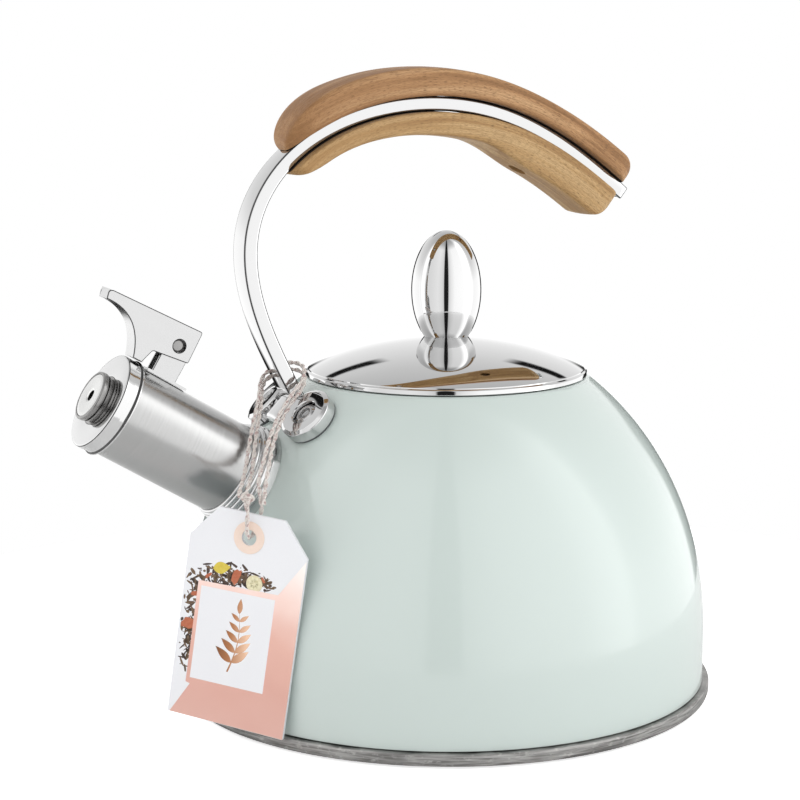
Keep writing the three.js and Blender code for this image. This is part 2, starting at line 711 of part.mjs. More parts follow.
kettle.add(
  part('handle_bracket', handleBracket(), POLISHED),
  part('bracket_gasket', bracketGasket(), SILICONE),
);
for (const [name, side] of [['near', 1], ['far', -1]]) {
  const lobe = new THREE.Group();
  lobe.applyMatrix4(lobeMatrix(side));
  lobe.add(
    part(`bracket_screw_${name}`, bracketScrew(), BRUSHED),
    part(`bracket_nut_${name}`, bracketNut(), BRUSHED),
  );
  kettle.add(lobe);
}

kettle.add(
  part('handle_bar', handleBar(), POLISHED),
  part('upper_grip', upperGrip(), DARK_WOOD),
  part('lower_grip', lowerGrip(), LIGHT_WOOD),
);
['front', 'rear'].forEach((name, i) => {
  const seat = new THREE.Group();
  seat.applyMatrix4(screwMatrix(SCREW_SHARES[i]));
  seat.add(part(`grip_screw_${name}`, gripScrew(), BRUSHED));
  kettle.add(seat);
});

const tag = new THREE.Group();
tag.applyMatrix4(tagMatrix());
const knot = part('twine_knot', twineKnot(), TWINE);
knot.position.set(0.4, 14.2, 6.8);
tag.add(
  part('tag_front_card', tagCard(0), WHITE_CARD),
  part('tag_back_card', tagCard(-CARD - GAP), WHITE_CARD),
  part('tag_ring', tagRing(), PEACH_CARD),
  knot,
);
kettle.add(tag, part('twine', twine(), TWINE));

export default kettle;
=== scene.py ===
"""A stovetop whistling kettle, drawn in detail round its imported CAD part. +Z up, metres.

Shapes are worked out in millimetres, in the part's own frame, and turned to metres when a mesh is made.
"""

import math
import random

import bmesh
import bpy
import numpy as np
from mathutils import Matrix, Vector


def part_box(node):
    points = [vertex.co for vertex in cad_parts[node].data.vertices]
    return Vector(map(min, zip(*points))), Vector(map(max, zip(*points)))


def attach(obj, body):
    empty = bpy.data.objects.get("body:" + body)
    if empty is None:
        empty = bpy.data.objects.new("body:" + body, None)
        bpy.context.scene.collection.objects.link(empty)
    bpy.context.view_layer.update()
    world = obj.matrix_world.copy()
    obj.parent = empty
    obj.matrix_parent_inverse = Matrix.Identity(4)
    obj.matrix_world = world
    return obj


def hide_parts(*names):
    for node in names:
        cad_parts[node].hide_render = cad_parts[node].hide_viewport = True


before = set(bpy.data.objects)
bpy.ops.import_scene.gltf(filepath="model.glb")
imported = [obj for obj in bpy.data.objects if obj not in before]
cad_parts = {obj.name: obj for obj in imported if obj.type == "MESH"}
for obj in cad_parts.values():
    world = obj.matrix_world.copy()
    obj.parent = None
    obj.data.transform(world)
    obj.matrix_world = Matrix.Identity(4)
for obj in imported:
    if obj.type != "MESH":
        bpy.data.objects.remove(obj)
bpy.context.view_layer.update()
MM = 0.001

# ---- Driving dimensions, in millimetres unless said otherwise ------------------------------------
BODY_RADIUS = 92.7
WALL_BOTTOM = 5.1
WALL_TOP = 21.4
DOME_HEIGHT = 111.4
DOME_POWER_R = 1.787
DOME_POWER_Z = 2.09
SHELL = 1.0
MOUTH_RADIUS = 46.5
SHOULDER_ANGLE = 0.952

RIM_RADIUS = 95
RIM_BOTTOM = 0.6
RIM_TOP = 4.7
DISC_RADIUS = 80.4

LID_RADIUS = 49.9
LID_BOTTOM = 113.4
LID_RISE = 13.2
LID_LIP = 1.4
LID_POWER = 2.0
LID_FLATNESS = 0.8
LID_SHEET = 0.7
KNOB_RADIUS = 12.45
KNOB_HALF_HEIGHT = 21.2
KNOB_CENTRE = 142.8

SPOUT_ELEVATION = math.radians(31.36)
SPOUT_FOOT = Vector((-80, 0, 83.9))
SPOUT_RADIUS = 15.93
SPOUT_END = 52.6
COLLAR_RIDGES = [(18.6, -2.6, 0.2), (18.0, 0.2, 2.2), (17.4, 2.2, 3.9), (16.8, 3.9, 5)]
COLLAR_ROLL = 0.7
CAP_RADIUS = 17.26
CAP_REAR = 50.3
CAP_FACE = 56.1
SPOUT_HOLE = 16.5
DRUM_RADIUS = 8.7
DRUM_PROUD = 4
DRUM_BANDS = [(53, 56.1, 0), (56.1, 57.2, 1.0), (57.2, 57.7, 0.25), (57.7, 58.4, 1.0)]
WHISTLE_HOLE = 1.9

PIVOT_ALONG = 42.2
PIVOT_ABOVE = 28.1
PIN_RADIUS = 2.4
LEVER_HALF_WIDTH = 4.2

SADDLE_RADIUS = 61
LOBE_AZIMUTH = math.radians(15)
LOBE_RADIUS = 9.6
LOBE_HEIGHT = 5
SEAT_HEIGHT = 0.95
COIN_SEAT = 6.5
SCREW_HOLE = 2.3
SADDLE_HOLE = 2.15

BAR_HALF_WIDTH = 5.2
BAR_HALF_THICKNESS = 2.5
BAR_FOOT = 2.2
GRIP_HALF_WIDTH = 10
BAR_CURVES = [
    [(-58.2, 107.6), (-66.3, 123.6), (-75.9, 140.5), (-75.9, 158.5)],
    [(-75.9, 158.5), (-75.9, 188.5), (-45, 208.1), (-9, 208.1)],
    [(-9, 208.1), (24, 208.1), (47.6, 192.3), (69.7, 174.6)],
]
SCREW_SHARES = (0.47, 0.82)      # of the bar's length, where the two grip screws go through it
SCREW_SEAT = -6.5                # how far outwards of the bar's centre their heads sit
SCREW_BORE = 2.0
SCREW_HEAD_BORE = 3.4

TAG_AZIMUTH = math.radians(224)
TAG_LEAN = math.radians(3)
TAG_TURN = math.radians(-7.5)
TAG_HOLE = Vector((-90.3, -36.3, 70.6))
TAG_HALF_WIDTH = 21
TAG_TOP = 8
TAG_BOTTOM = -64
TAG_CHAMFER = (9.3, 10.9)
TAG_HOLE_RADIUS = 2.6
CARD = 0.45
GAP = 0.3

KNOT_SIZE = 0.56
KNOT_DEPTH = 0.75


# ---- Camera, floor and studio --------------------------------------------------------------------
CAMERA_AZIMUTH = 0.4757          # where the camera stands, round from -Y towards -X
CAMERA_YAW = -0.0221             # how far it looks aside from the vessel's axis
CAMERA_PITCH = 0.1734
CAMERA_DISTANCE = 0.738
CAMERA_HEIGHT = 0.23257
CAMERA_LENS = 94.74
FLOOR_RADIUS = 0.27
FLOOR_DROP = 0.0003              # keeps the table just clear of the base


def make_camera():
    data = bpy.data.cameras.new("camera")
    data.lens = CAMERA_LENS
    data.sensor_width = 36
    data.clip_start = 0.01
    data.clip_end = 60
    camera = bpy.data.objects.new("camera", data)
    bpy.context.collection.objects.link(camera)
    camera.location = (
        -CAMERA_DISTANCE * math.sin(CAMERA_AZIMUTH),
        -CAMERA_DISTANCE * math.cos(CAMERA_AZIMUTH),
        CAMERA_HEIGHT,
    )
    heading = CAMERA_AZIMUTH + CAMERA_YAW
    camera.rotation_euler = (math.pi / 2 - CAMERA_PITCH, 0, -heading)
    bpy.context.scene.camera = camera


def nodes_of(owner):
    """Empties the owner's node tree. Returns a function that adds a node with its inputs set or linked."""
    owner.use_nodes = True
    tree = owner.node_tree
    tree.nodes.clear()

    def add(kind, inputs=(), **settings):
        node = tree.nodes.new(kind)
        for key, value in settings.items():
            setattr(node, key, value)
        for key, value in dict(inputs).items():
            if isinstance(value, bpy.types.NodeSocket):
                tree.links.new(value, node.inputs[key])
            else:
                node.inputs[key].default_value = value
        return node

    return add


def math_node(add, operation, *values):
    return add("ShaderNodeMath", dict(enumerate(values)), operation=operation).outputs[0]


def in_range(add, value, low, high, new_low, new_high):
    """A value that runs from new_low to new_high while the given one runs from low to high."""
    return add(
        "ShaderNodeMapRange",
        {"Value": value, "From Min": low, "From Max": high, "To Min": new_low, "To Max": new_high},
    ).outputs[0]


def ramp(add, value, stops):
    """A colour, or a level of grey, that follows a value from stop to stop."""
    node = add("ShaderNodeValToRGB", {"Fac": value})
    elements = node.color_ramp.elements
    while len(elements) > 1:
        elements.remove(elements[-1])
    for i, (place, colour) in enumerate(stops):
        element = elements[0] if i == 0 else elements.new(place)
        element.position = place
        if isinstance(colour, (int, float)):
            colour = (colour, colour, colour)
        element.color = (*colour, 1)
    return node.outputs["Color"]


def mix(add, share, low, high):
    """A mix of two colours, each a socket or a colour of three numbers."""
    colours = [c if isinstance(c, bpy.types.NodeSocket) else (*c, 1) for c in (low, high)]
    return add("ShaderNodeMix", {0: share, 6: colours[0], 7: colours[1]}, data_type="RGBA").outputs[2]


# Brightness of the studio by degrees aside from the camera: in front two broad soft boxes with a
# dark gap between them, behind a pale backdrop.
FRONT_RING = [(0, 0.01), (6.5, 0.01), (8.5, 0.5), (16, 0.6), (28, 0.69), (60, 0.67), (72, 0.95), (86, 1.15),
              (94, 0.2), (100, 0), (180, 0)]
BACK_RING = [(0, 0), (86, 0), (97, 0.9), (180, 1.0)]
# And by the height of the direction, from straight down to straight up.
FRONT_HEIGHT = [(0, 1.0), (0.9, 1.0), (0.96, 0.5), (1, 0.35)]
BACK_HEIGHT = [(0, 1.0), (0.505, 1.0), (0.56, 0.86), (0.64, 0.7), (0.75, 0.62), (0.85, 0.52), (1, 0.42)]
FRONT_STRENGTH = 1.45
BACK_STRENGTH = 1.55
SIDE_LEVELS = (1.6, 1.0)        # of the front soft boxes, from one side to the other
# Dark cards stand to both sides of the backdrop, in two rows, and pass on a trace of light.
CARD_RING = [(0, 0), (146, 0), (150, 1), (167, 1), (170, 0), (180, 0)]
CARD_HEIGHT = [(0, 1), (0.57, 1), (0.60, 0), (0.748, 0), (0.756, 1), (0.782, 1), (0.79, 0), (1, 0)]
CARD_SHINE = 0.01
WHITE = (1, 1, 1, 1)


def make_studio():
    """A world that is plain white to the camera and a soft studio to everything else."""
    world = bpy.data.worlds.new("studio")
    bpy.context.scene.world = world
    add = nodes_of(world)
    place = add("ShaderNodeTexCoord").outputs["Generated"]
    turned = add(
        "ShaderNodeVectorRotate",
        {"Vector": place, "Axis": (0, 0, 1), "Angle": CAMERA_AZIMUTH - math.pi},
        rotation_type="AXIS_ANGLE",
    )
    split = add("ShaderNodeSeparateXYZ", {"Vector": turned.outputs[0]})
    around = math_node(add, "ARCTAN2", split.outputs["X"], split.outputs["Y"])
    aside = math_node(add, "DIVIDE", math_node(add, "ABSOLUTE", around), math.pi)
    upward = math_node(add, "MULTIPLY_ADD", split.outputs["Z"], 0.5, 0.5)

    def level_of(ring, heights):
        by_degrees = ramp(add, aside, [(degrees / 180, level) for degrees, level in ring])
        return math_node(add, "MULTIPLY", by_degrees, ramp(add, upward, heights))

    sides = in_range(add, split.outputs["X"], -1.0, 1.0, *SIDE_LEVELS)
    front = math_node(add, "MULTIPLY", level_of(FRONT_RING, FRONT_HEIGHT), FRONT_STRENGTH)
    front = math_node(add, "MULTIPLY", front, sides)
    level = math_node(add, "MULTIPLY_ADD", level_of(BACK_RING, BACK_HEIGHT), BACK_STRENGTH, front)
    past_cards = math_node(add, "SUBTRACT", 1 + CARD_SHINE, level_of(CARD_RING, CARD_HEIGHT))
    level = math_node(add, "MULTIPLY", level, past_cards)
    light = add("ShaderNodeBackground", {"Color": WHITE, "Strength": level})
    backdrop = add("ShaderNodeBackground", {"Color": WHITE, "Strength": 1.0})
    seen = add("ShaderNodeLightPath").outputs["Is Camera Ray"]
    shown = add("ShaderNodeMixShader", {0: seen, 1: light.outputs[0], 2: backdrop.outputs[0]})
    add("ShaderNodeOutputWorld", {"Surface": shown.outputs[0]})
    bpy.context.scene.view_settings.view_transform = "Standard"
    bpy.context.scene.view_settings.look = "None"


def make_floor():
    """A round white table top."""
    verts, faces = revolve([(0, 0), (0.2, 0), (FLOOR_RADIUS, 0)], 96, open_end=True)
    mesh = bpy.data.meshes.new("floor")
    mesh.from_pydata(verts, [], faces)
    for polygon in mesh.polygons:
        polygon.use_smooth = True
    mesh.materials.append(LOOKS["floor"])
    floor = bpy.data.objects.new("floor", mesh)
    bpy.context.collection.objects.link(floor)
    floor.location.z = -FLOOR_DROP


# ---- Materials -----------------------------------------------------------------------------------
def grey(level):
    return (level, level, level)


def new_material(name):
    """A new material, and the function that adds nodes to it."""
    material = bpy.data.materials.new(name)
    return material, nodes_of(material)


def noise(add, scale, detail=2.0, distortion=0.0, place=None, shift=(0, 0, 0)):
    """Noise over the object's own coordinates in metres, or over others, scaled along each axis."""
    scale = scale if isinstance(scale, tuple) else (scale, scale, scale)
    place = place or add("ShaderNodeTexCoord").outputs["Object"]
    placed = add("ShaderNodeMapping", {"Vector": place, "Location": shift, "Scale": scale})
    return add(
        "ShaderNodeTexNoise",
        {"Vector": placed.outputs[0], "Scale": 1.0, "Detail": detail, "Distortion": distortion},
    ).outputs[0]


def shaded(material, add, colour, roughness, height=None, depth=0.0, strength=0.5, **others):
    """Gives a material its shader: a colour, a roughness, other inputs, and a bump of a depth in metres."""
    inputs = {"Base Color": colour, "Roughness": roughness}
    inputs.update({name.replace("_", " "): value for name, value in others.items()})
    if height is not None:
        bump = add("ShaderNodeBump", {"Height": height, "Distance": depth, "Strength": strength})
        inputs["Normal"] = bump.outputs[0]
    shader = add("ShaderNodeBsdfPrincipled", inputs)
    add("ShaderNodeOutputMaterial", {"Surface": shader.outputs[0]})
    return material


def enamel():
    material, add = new_material("mint_enamel")
    colour = mix(add, noise(add, 9), (0.575, 0.655, 0.624), (0.60, 0.68, 0.648))
    return shaded(
        material, add, colour, 0.4, noise(add, 260, 1.0), 0.00002, 0.35,
        Coat_Weight=0.9, Coat_Roughness=0.07, Coat_IOR=1.5,
    )


def brushed(name, scale, base, rough, depth, marks):
    """Steel with fine brush marks. The scale is small along the marks and large across them."""
    material, add = new_material(name)
    lines = noise(add, scale, 4.0)
    colour = mix(add, lines, [c * (1 - marks) for c in base], base)
    roughness = in_range(add, math_node(add, "MULTIPLY", lines, noise(add, 60)), 0.1, 0.45, *rough)
    return shaded(material, add, colour, roughness, lines, depth, Metallic=1.0)


def worn_rim():
    """Grey brushed steel with long marks round the band, dull patches and bright rubbed spots."""
    material, add = new_material("worn_rim_steel")
    marks = noise(add, (90, 90, 1900), 6.0)
    rubbed = in_range(add, noise(add, (420, 420, 700), 3.0), 0.56, 0.7, 0.0, 0.5)
    dull = in_range(add, noise(add, 45), 0.5, 0.66, 0.0, 0.5)
    colour = mix(add, in_range(add, marks, 0.36, 0.62, 0, 1), (0.19, 0.185, 0.178), (0.46, 0.45, 0.44))
    colour = mix(add, rubbed, colour, (0.66, 0.65, 0.63))
    colour = mix(add, dull, colour, (0.16, 0.155, 0.15))
    roughness = in_range(add, marks, 0.35, 0.65, 0.34, 0.55)
    return shaded(material, add, colour, roughness, marks, 0.00004, Metallic=1.0)


def polished(name, base):
    """Mirror steel with faint smears."""
    material, add = new_material(name)
    smears = noise(add, 45, 3.0)
    colour = mix(add, smears, [c * 0.97 for c in base], base)
    return shaded(material, add, colour, in_range(add, smears, 0.35, 0.7, 0.02, 0.06), Metallic=1.0)


def plain(name, dark, light, roughness, metallic=0.0, grain=900, depth=0.00002):
    """An even stuff with fine specks between a dark and a light colour."""
    material, add = new_material(name)
    specks = noise(add, grain, 3.0)
    return shaded(
        material, add, mix(add, specks, dark, light), roughness, specks, depth, 0.4, Metallic=metallic
    )


KNOT_SQUEEZE = (0.22, 0.0, 0.55)        # how fast a knot fades along, across and outwards
# Painted shade on the wood towards the bend of the handle.
BEND_PAINTED_SHADE = (100, 175)                  # where the dark of the bend is full, and where it ends


def wood(name, dark, middle, light, seed, knot):
    """Wood whose grain follows the grip: the attribute "grain" holds millimetres along, across, outwards."""
    material, add = new_material(name)
    grain = add("ShaderNodeAttribute", attribute_name="grain").outputs["Vector"]

    def figure(scale, detail, distortion, shift):
        return noise(add, scale, detail, distortion, grain, (seed + shift, seed, shift))

    def stained(colour, pattern, low, high, most, stain, depth):
        """The colour stained darker where a pattern is strong."""
        share = in_range(add, pattern, low, high, 0.0, most)
        return mix(add, share, colour, [c * depth for c in stain])

    bands = figure((0.012, 0.2, 0.3), 3.0, 0.5, 0.0)
    streaks = figure((0.06, 1.5, 2.0), 5.0, 0.3, 7.0)
    fibres = figure((0.25, 4.0, 5.0), 4.0, 0.0, 19.0)
    pores = figure((0.55, 7.0, 7.0), 2.0, 0.0, 31.0)
    from_knot = add("ShaderNodeVectorMath", {0: grain, 1: knot}, operation="SUBTRACT").outputs[0]
    squeezed = add("ShaderNodeVectorMath", {0: from_knot, 1: KNOT_SQUEEZE}, operation="MULTIPLY").outputs[0]
    knot_distance = add("ShaderNodeVectorMath", {0: squeezed}, operation="LENGTH").outputs["Value"]
    along = add("ShaderNodeSeparateXYZ", {0: grain}).outputs["X"]

    tone = in_range(add, bands, 0.38, 0.62, 0.0, 1.0)
    colour = ramp(add, tone, [(0.0, dark), (0.5, middle), (1.0, light)])
    colour = stained(colour, streaks, 0.45, 0.72, 0.55, dark, 0.62)
    colour = stained(colour, fibres, 0.35, 0.75, 0.34, middle, 0.55)
    colour = stained(colour, pores, 0.53, 0.63, 0.75, dark, 0.45)
    knot_share = in_range(add, knot_distance, 0.15, 1.1, 1.0, 0.0)
    colour = mix(add, knot_share, colour, [c * 0.35 for c in dark])
    # Painted shade: the wood is darker towards the bend of the handle, on the side away from the light.
    colour = mix(add, in_range(add, along, *BEND_PAINTED_SHADE, 0.5, 0.0), colour, dark)
    roughness = in_range(add, streaks, 0.3, 0.7, 0.48, 0.66)
    rough = math_node(add, "ADD", fibres, pores)
    return shaded(material, add, colour, roughness, rough, 0.00008, Specular_IOR_Level=0.35)


def light_table():
    material, add = new_material("pale_table")
    colour = mix(add, noise(add, 6), grey(0.92), grey(0.95))
    # The table glows only for the camera, so that its mirror image in the steel stays grey.
    glow = math_node(add, "MULTIPLY", add("ShaderNodeLightPath").outputs["Is Camera Ray"], 0.7)
    return shaded(material, add, colour, 0.9, Emission_Color=WHITE, Emission_Strength=glow)


def twine_fibre():
    material, add = new_material("cotton_twine")
    fine = noise(add, 2600, 3.0)
    cotton = mix(add, fine, (0.50, 0.44, 0.40), (0.93, 0.89, 0.85))
    flecks = in_range(add, noise(add, 900, 1.0), 0.52, 0.66, 0.0, 0.8)
    colour = mix(add, flecks, cotton, (0.40, 0.25, 0.24))
    return shaded(material, add, colour, 0.85, fine, 0.0002, 0.7, Sheen_Weight=0.25)


def foil(name, axis, low, high, colours, roughness):
    """Foil that runs through some colours along one axis of the tag, between two places in mm: a painted
    gradient of light over the foil's own colour.
    """
    material, add = new_material(name)
    place = add("ShaderNodeTexCoord").outputs["Object"]
    along = add("ShaderNodeSeparateXYZ", {"Vector": place}).outputs[axis]
    share = in_range(add, along, low * MM, high * MM, 0.0, 1.0)
    # The place on the painted gradient of light, made a little uneven by noise.
    uneven = math_node(add, "MULTIPLY_ADD", noise(add, 60), 0.3, math_node(add, "SUBTRACT", share, 0.15))
    colour = ramp(add, uneven, [(i / (len(colours) - 1), colour) for i, colour in enumerate(colours)])
    return shaded(material, add, colour, roughness, Metallic=0.6)


# ---- Looks ---------------------------------------------------------------------------------------
def make_looks():
    """Every look by its name, in groups by the CAD slot that its pieces carry. The last has no slot."""
    brown = (0.28, 0.135, 0.05), (0.455, 0.245, 0.105), (0.56, 0.335, 0.163)
    golden = (0.35, 0.193, 0.072), (0.48, 0.295, 0.122), (0.56, 0.37, 0.176)
    # Rose foil that pales to near white towards the top: a painted highlight over its own rose colour.
    rose = [
        (0.80, 0.49, 0.42), (0.77, 0.44, 0.37), (0.82, 0.49, 0.41), (0.96, 0.72, 0.65), (1, 0.95, 0.91),
    ]
    # Copper foil that runs from dark to bright across the sprig: painted shade and a painted sheen over its
    # own copper colour.
    copper = [(0.10, 0.03, 0.012), (0.45, 0.19, 0.08), (1, 0.68, 0.48)]
    return {
        "enamel": {"enamel": enamel()},
        "polished_steel": {
            "mirror": polished("mirror_steel", grey(0.66)),
            "chrome": polished("bar_chrome", grey(0.60)),
            "steel_cap": brushed("cap_steel", (60, 60, 900), grey(0.66), (0.06, 0.12), 2e-6, 0.05),
        },
        "brushed_steel": {
            "rim": worn_rim(),
            "bottom": brushed("bottom_steel", 500, (0.55, 0.55, 0.54), (0.3, 0.5), 3e-5, 0.2),
            "steel_turned": brushed(
                "turned_steel", (90, 90, 2600), (0.72, 0.72, 0.71), (0.2, 0.36), 1.2e-5, 0.12
            ),
            "steel_tube": brushed(
                "spout_steel", (60, 60, 1500), (0.465, 0.465, 0.462), (0.2, 0.28), 4e-6, 0.14
            ),
            "steel_worn": brushed(
                "drum_steel", (120, 120, 700), (0.34, 0.335, 0.33), (0.16, 0.3), 6e-6, 0.35
            ),
            "steel_face": brushed("face_steel", 160, (0.70, 0.70, 0.69), (0.2, 0.3), 3e-6, 0.06),
            "steel_satin": brushed("satin_steel", (400, 90, 90), grey(0.54), (0.16, 0.26), 2e-6, 0.05),
        },
        "silicone": {"silicone": plain("grey_silicone", (0.07, 0.075, 0.08), (0.11, 0.115, 0.12), 0.5)},
        "dark_wood": {"dark_wood": wood("oiled_brown_wood", *brown, 3.0, (258, -10, 6.2))},
        "light_wood": {"light_wood": wood("oiled_golden_wood", *golden, 41.0, (400, 0, 0))},
        "white_card": {
            "card": plain("white_card", (0.85, 0.855, 0.885), (0.88, 0.885, 0.91), 0.55, 0.0, 1500, 1e-5),
            "flake_dark": plain("dark_leaf_print", (0.035, 0.022, 0.016), (0.10, 0.06, 0.045), 0.55),
            "flake_brown": plain("brown_leaf_print", (0.10, 0.06, 0.035), (0.22, 0.14, 0.08), 0.55),
            "flake_red": plain("red_petal_print", (0.40, 0.08, 0.03), (0.58, 0.20, 0.10), 0.55),
            "petal": plain("yellow_petal_print", (0.62, 0.45, 0.03), (0.80, 0.66, 0.12), 0.55),
            "slice_rind": plain("pale_slice_print", (0.70, 0.62, 0.36), (0.82, 0.76, 0.55), 0.55),
            "slice_flesh": plain("slice_flesh_print", (0.78, 0.72, 0.42), (0.88, 0.84, 0.62), 0.55),
        },
        "peach_card": {
            "ring_card": plain("peach_ring", (0.88, 0.70, 0.59), (0.92, 0.75, 0.65), 0.6),
            "foil": foil("rose_foil", "Y", TAG_BOTTOM, -3, rose, 0.34),
            "copper": foil("copper_foil", "X", -10, 6, copper, 0.25),
        },
        "twine": {"twine": twine_fibre()},
        None: {
            # Near-black for the faces of the wood next to the bar: painted shade in the gap between the
            # grips and the bar.
            "painted_seam_shade": plain("seam_shadow", (0.02, 0.012, 0.008), (0.05, 0.03, 0.02), 0.8),
            # Near-black steel for the faces at edges and corners: painted dark outlines that stand in for
            # shade and dark reflections there.
            "painted_dark_edge": plain("dim_steel_edge", grey(0.06), grey(0.12), 0.4, 1.0),
            "aluminium": plain("cast_aluminium", (0.55, 0.56, 0.57), (0.68, 0.69, 0.70), 0.45, 1.0),
            "spring": plain("spring_wire", grey(0.38), grey(0.52), 0.3, 1.0),
            "floor": light_table(),
        },
    }


SLOT_LOOKS = make_looks()
LOOKS = {look: material for group in SLOT_LOOKS.values() for look, material in group.items()}


# ---- Mesh helpers --------------------------------------------------------------------------------
def revolve(profile, segments, open_end=False):
    """A profile of (radius, height), bottom to top up its outside, turned about Z.

    It closes on itself unless both ends lie on the axis or open_end is true.
    """
    verts, rings = [], []
    for radius, height in profile:
        if radius < 1e-6:
            rings.append([len(verts)] * segments)
            verts.append((0, 0, height))
            continue
        rings.append(list(range(len(verts), len(verts) + segments)))
        for i in range(segments):
            angle = 2 * math.pi * i / segments
            verts.append((radius * math.cos(angle), radius * math.sin(angle), height))
    pairs = list(zip(rings, rings[1:]))
    on_axis = profile[0][0] < 1e-6 and profile[-1][0] < 1e-6
    if not on_axis and not open_end:
        pairs.append((rings[-1], rings[0]))
    faces = []
    for low, high in pairs:
        for i in range(segments):
            j = (i + 1) % segments
            corners = [low[i], low[j], high[j], high[i]]
            faces.append(tuple(dict.fromkeys(corners)))
    return verts, faces


def rounded(points, radius, steps=4, closed=True):
    """The points of an outline with its corners rounded. The radius is one number, or one a point."""
    points = [Vector(p) for p in points]
    radii = list(radius) if hasattr(radius, "__len__") else [radius] * len(points)
    result = []
    for i, point in enumerate(points):
        if radii[i] == 0 or (not closed and i in (0, len(points) - 1)):
            result.append(tuple(point))
            continue
        back = points[i - 1] - point
        ahead = points[(i + 1) % len(points)] - point
        reach = min(radii[i] / math.tan(back.angle(ahead) / 2), 0.49 * back.length, 0.49 * ahead.length)
        start = point + back.normalized() * reach
        end = point + ahead.normalized() * reach
        for step in range(steps + 1):
            t = step / steps
            result.append(tuple(start * (1 - t) ** 2 + point * 2 * t * (1 - t) + end * t ** 2))
    return result


def rod(radius, low, high, segments=48):
    """A cylinder about Z."""
    return revolve([(0, low), (radius, low), (radius, high), (0, high)], segments)


def prism(outline, low, high, axes="XZY"):
    """An outline in the plane of the first two axes, extruded along the third from low to high."""
    order = ["XYZ".index(letter) for letter in axes]
    verts = []
    for level in (low, high):
        for a, b in outline:
            point = [0, 0, 0]
            point[order[0]], point[order[1]], point[order[2]] = a, b, level
            verts.append(tuple(point))
    count = len(outline)
    faces = [tuple(range(count)), tuple(range(2 * count - 1, count - 1, -1))]
    for i in range(count):
        j = (i + 1) % count
        faces.append((i, j, count + j, count + i))
    return verts, faces


def loft(rings):
    """A closed skin over rings of equally many points, with a flat cap at either end."""
    size = len(rings[0])
    verts = [tuple(p) for ring in rings for p in ring]
    faces = [tuple(range(size))[::-1], tuple(range(len(verts) - size, len(verts)))]
    for k in range(len(rings) - 1):
        for i in range(size):
            j = (i + 1) % size
            faces.append((k * size + i, k * size + j, (k + 1) * size + j, (k + 1) * size + i))
    return verts, faces


def joined(*parts):
    """Several (vertices, faces) as one."""
    verts, faces = [], []
    for some_verts, some_faces in parts:
        start = len(verts)
        verts += some_verts
        faces += [tuple(start + i for i in face) for face in some_faces]
    return verts, faces


def raw(name, shape, place=Matrix()):
    """A mesh object from vertices in millimetres and faces, turned outside out."""
    verts, faces = shape
    mesh = bpy.data.meshes.new(name)
    mesh.from_pydata([tuple(c * MM for c in v) for v in verts], [], faces)
    turned = bmesh.new()
    turned.from_mesh(mesh)
    bmesh.ops.recalc_face_normals(turned, faces=turned.faces)
    turned.to_mesh(mesh)
    turned.free()
    obj = bpy.data.objects.new(name, mesh)
    bpy.context.collection.objects.link(obj)
    obj.matrix_world = place
    return obj


def apply_modifiers(obj):
    bpy.context.view_layer.update()
    evaluated = obj.evaluated_get(bpy.context.evaluated_depsgraph_get())
    old = obj.data
    name = old.name
    obj.data = bpy.data.meshes.new_from_object(evaluated)
    obj.modifiers.clear()
    bpy.data.meshes.remove(old)
    obj.data.name = name


def combine(target, tool, operation="DIFFERENCE"):
    """Cuts a tool out of the target, or joins it on, and removes the tool."""
    modifier = target.modifiers.new("combine", "BOOLEAN")
    modifier.operation = operation
    modifier.solver = "EXACT"
    modifier.object = tool
    apply_modifiers(target)
    bpy.data.objects.remove(tool)


def inset(outline, distance):
    """An outline moved inwards by a distance."""
    points = [Vector(p) for p in outline]
    area = sum(points[i - 1].cross(points[i]) for i in range(len(points)))
    inwards = math.copysign(distance, area)
    result = []
    for i, point in enumerate(points):
        back = (point - points[i - 1]).normalized()
        ahead = (points[(i + 1) % len(points)] - point).normalized()
        along = (back + ahead).normalized()
        reach = inwards / max(0.4, along.dot(back))
        result.append((point.x - along.y * reach, point.y + along.x * reach))
    return result


def sheet(outline, low, high, chamfer):
    """A plate with chamfered edges: an outline in the XZ plane from y = low to y = high."""
    small = inset(outline, chamfer)
    levels = [(small, low), (outline, low + chamfer), (outline, high - chamfer), (small, high)]
    return loft([[(a, level, b) for a, b in ring] for ring, level in levels])


def across_edge(polygon, least=0.3):
    """Whether a face leans to the side, as chamfers and rounded edges do, but doesn't face it."""
    return least < abs(polygon.normal.y) < 0.95


def piece(obj, look, body, *nodes, sharp=40):
    """Finishes a piece: its look, its smooth faces, its body and the CAD nodes that it stands for."""
    obj.data.materials.clear()
    obj.data.materials.append(LOOKS[look])
    for polygon in obj.data.polygons:
        polygon.use_smooth = True
        polygon.material_index = 0
    obj.data.set_sharp_from_angle(angle=math.radians(sharp))
    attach(obj, body)
    if nodes:
        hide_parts(*nodes)
    return obj


def round_piece(name, profile, segments, look, body, *nodes, place=Matrix(), sharp=40):
    return piece(raw(name, revolve(profile, segments), place), look, body, *nodes, sharp=sharp)


def edge_faces(obj, look, is_edge):
    """Gives the faces of a piece that are its edges a second look."""
    obj.data.materials.append(LOOKS[look])
    for polygon in obj.data.polygons:
        if is_edge(polygon):
            polygon.material_index = len(obj.data.materials) - 1


def paint(node, look):
    """Gives a CAD node that is shown as it is its look."""
    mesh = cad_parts[node].data
    mesh.materials.clear()
    mesh.materials.append(LOOKS[look])


# ---- The vessel ----------------------------------------------------------------------------------
def dome_point(angle):
    radius = BODY_RADIUS * math.cos(angle) ** (2 / DOME_POWER_R)
    height = WALL_TOP + DOME_HEIGHT * math.sin(angle) ** (2 / DOME_POWER_Z)
    return Vector((radius, height))


def dome_normal(angle):
    along = (dome_point(angle + 1e-4) - dome_point(angle - 1e-4)).normalized()
    return Vector((along.y, -along.x))


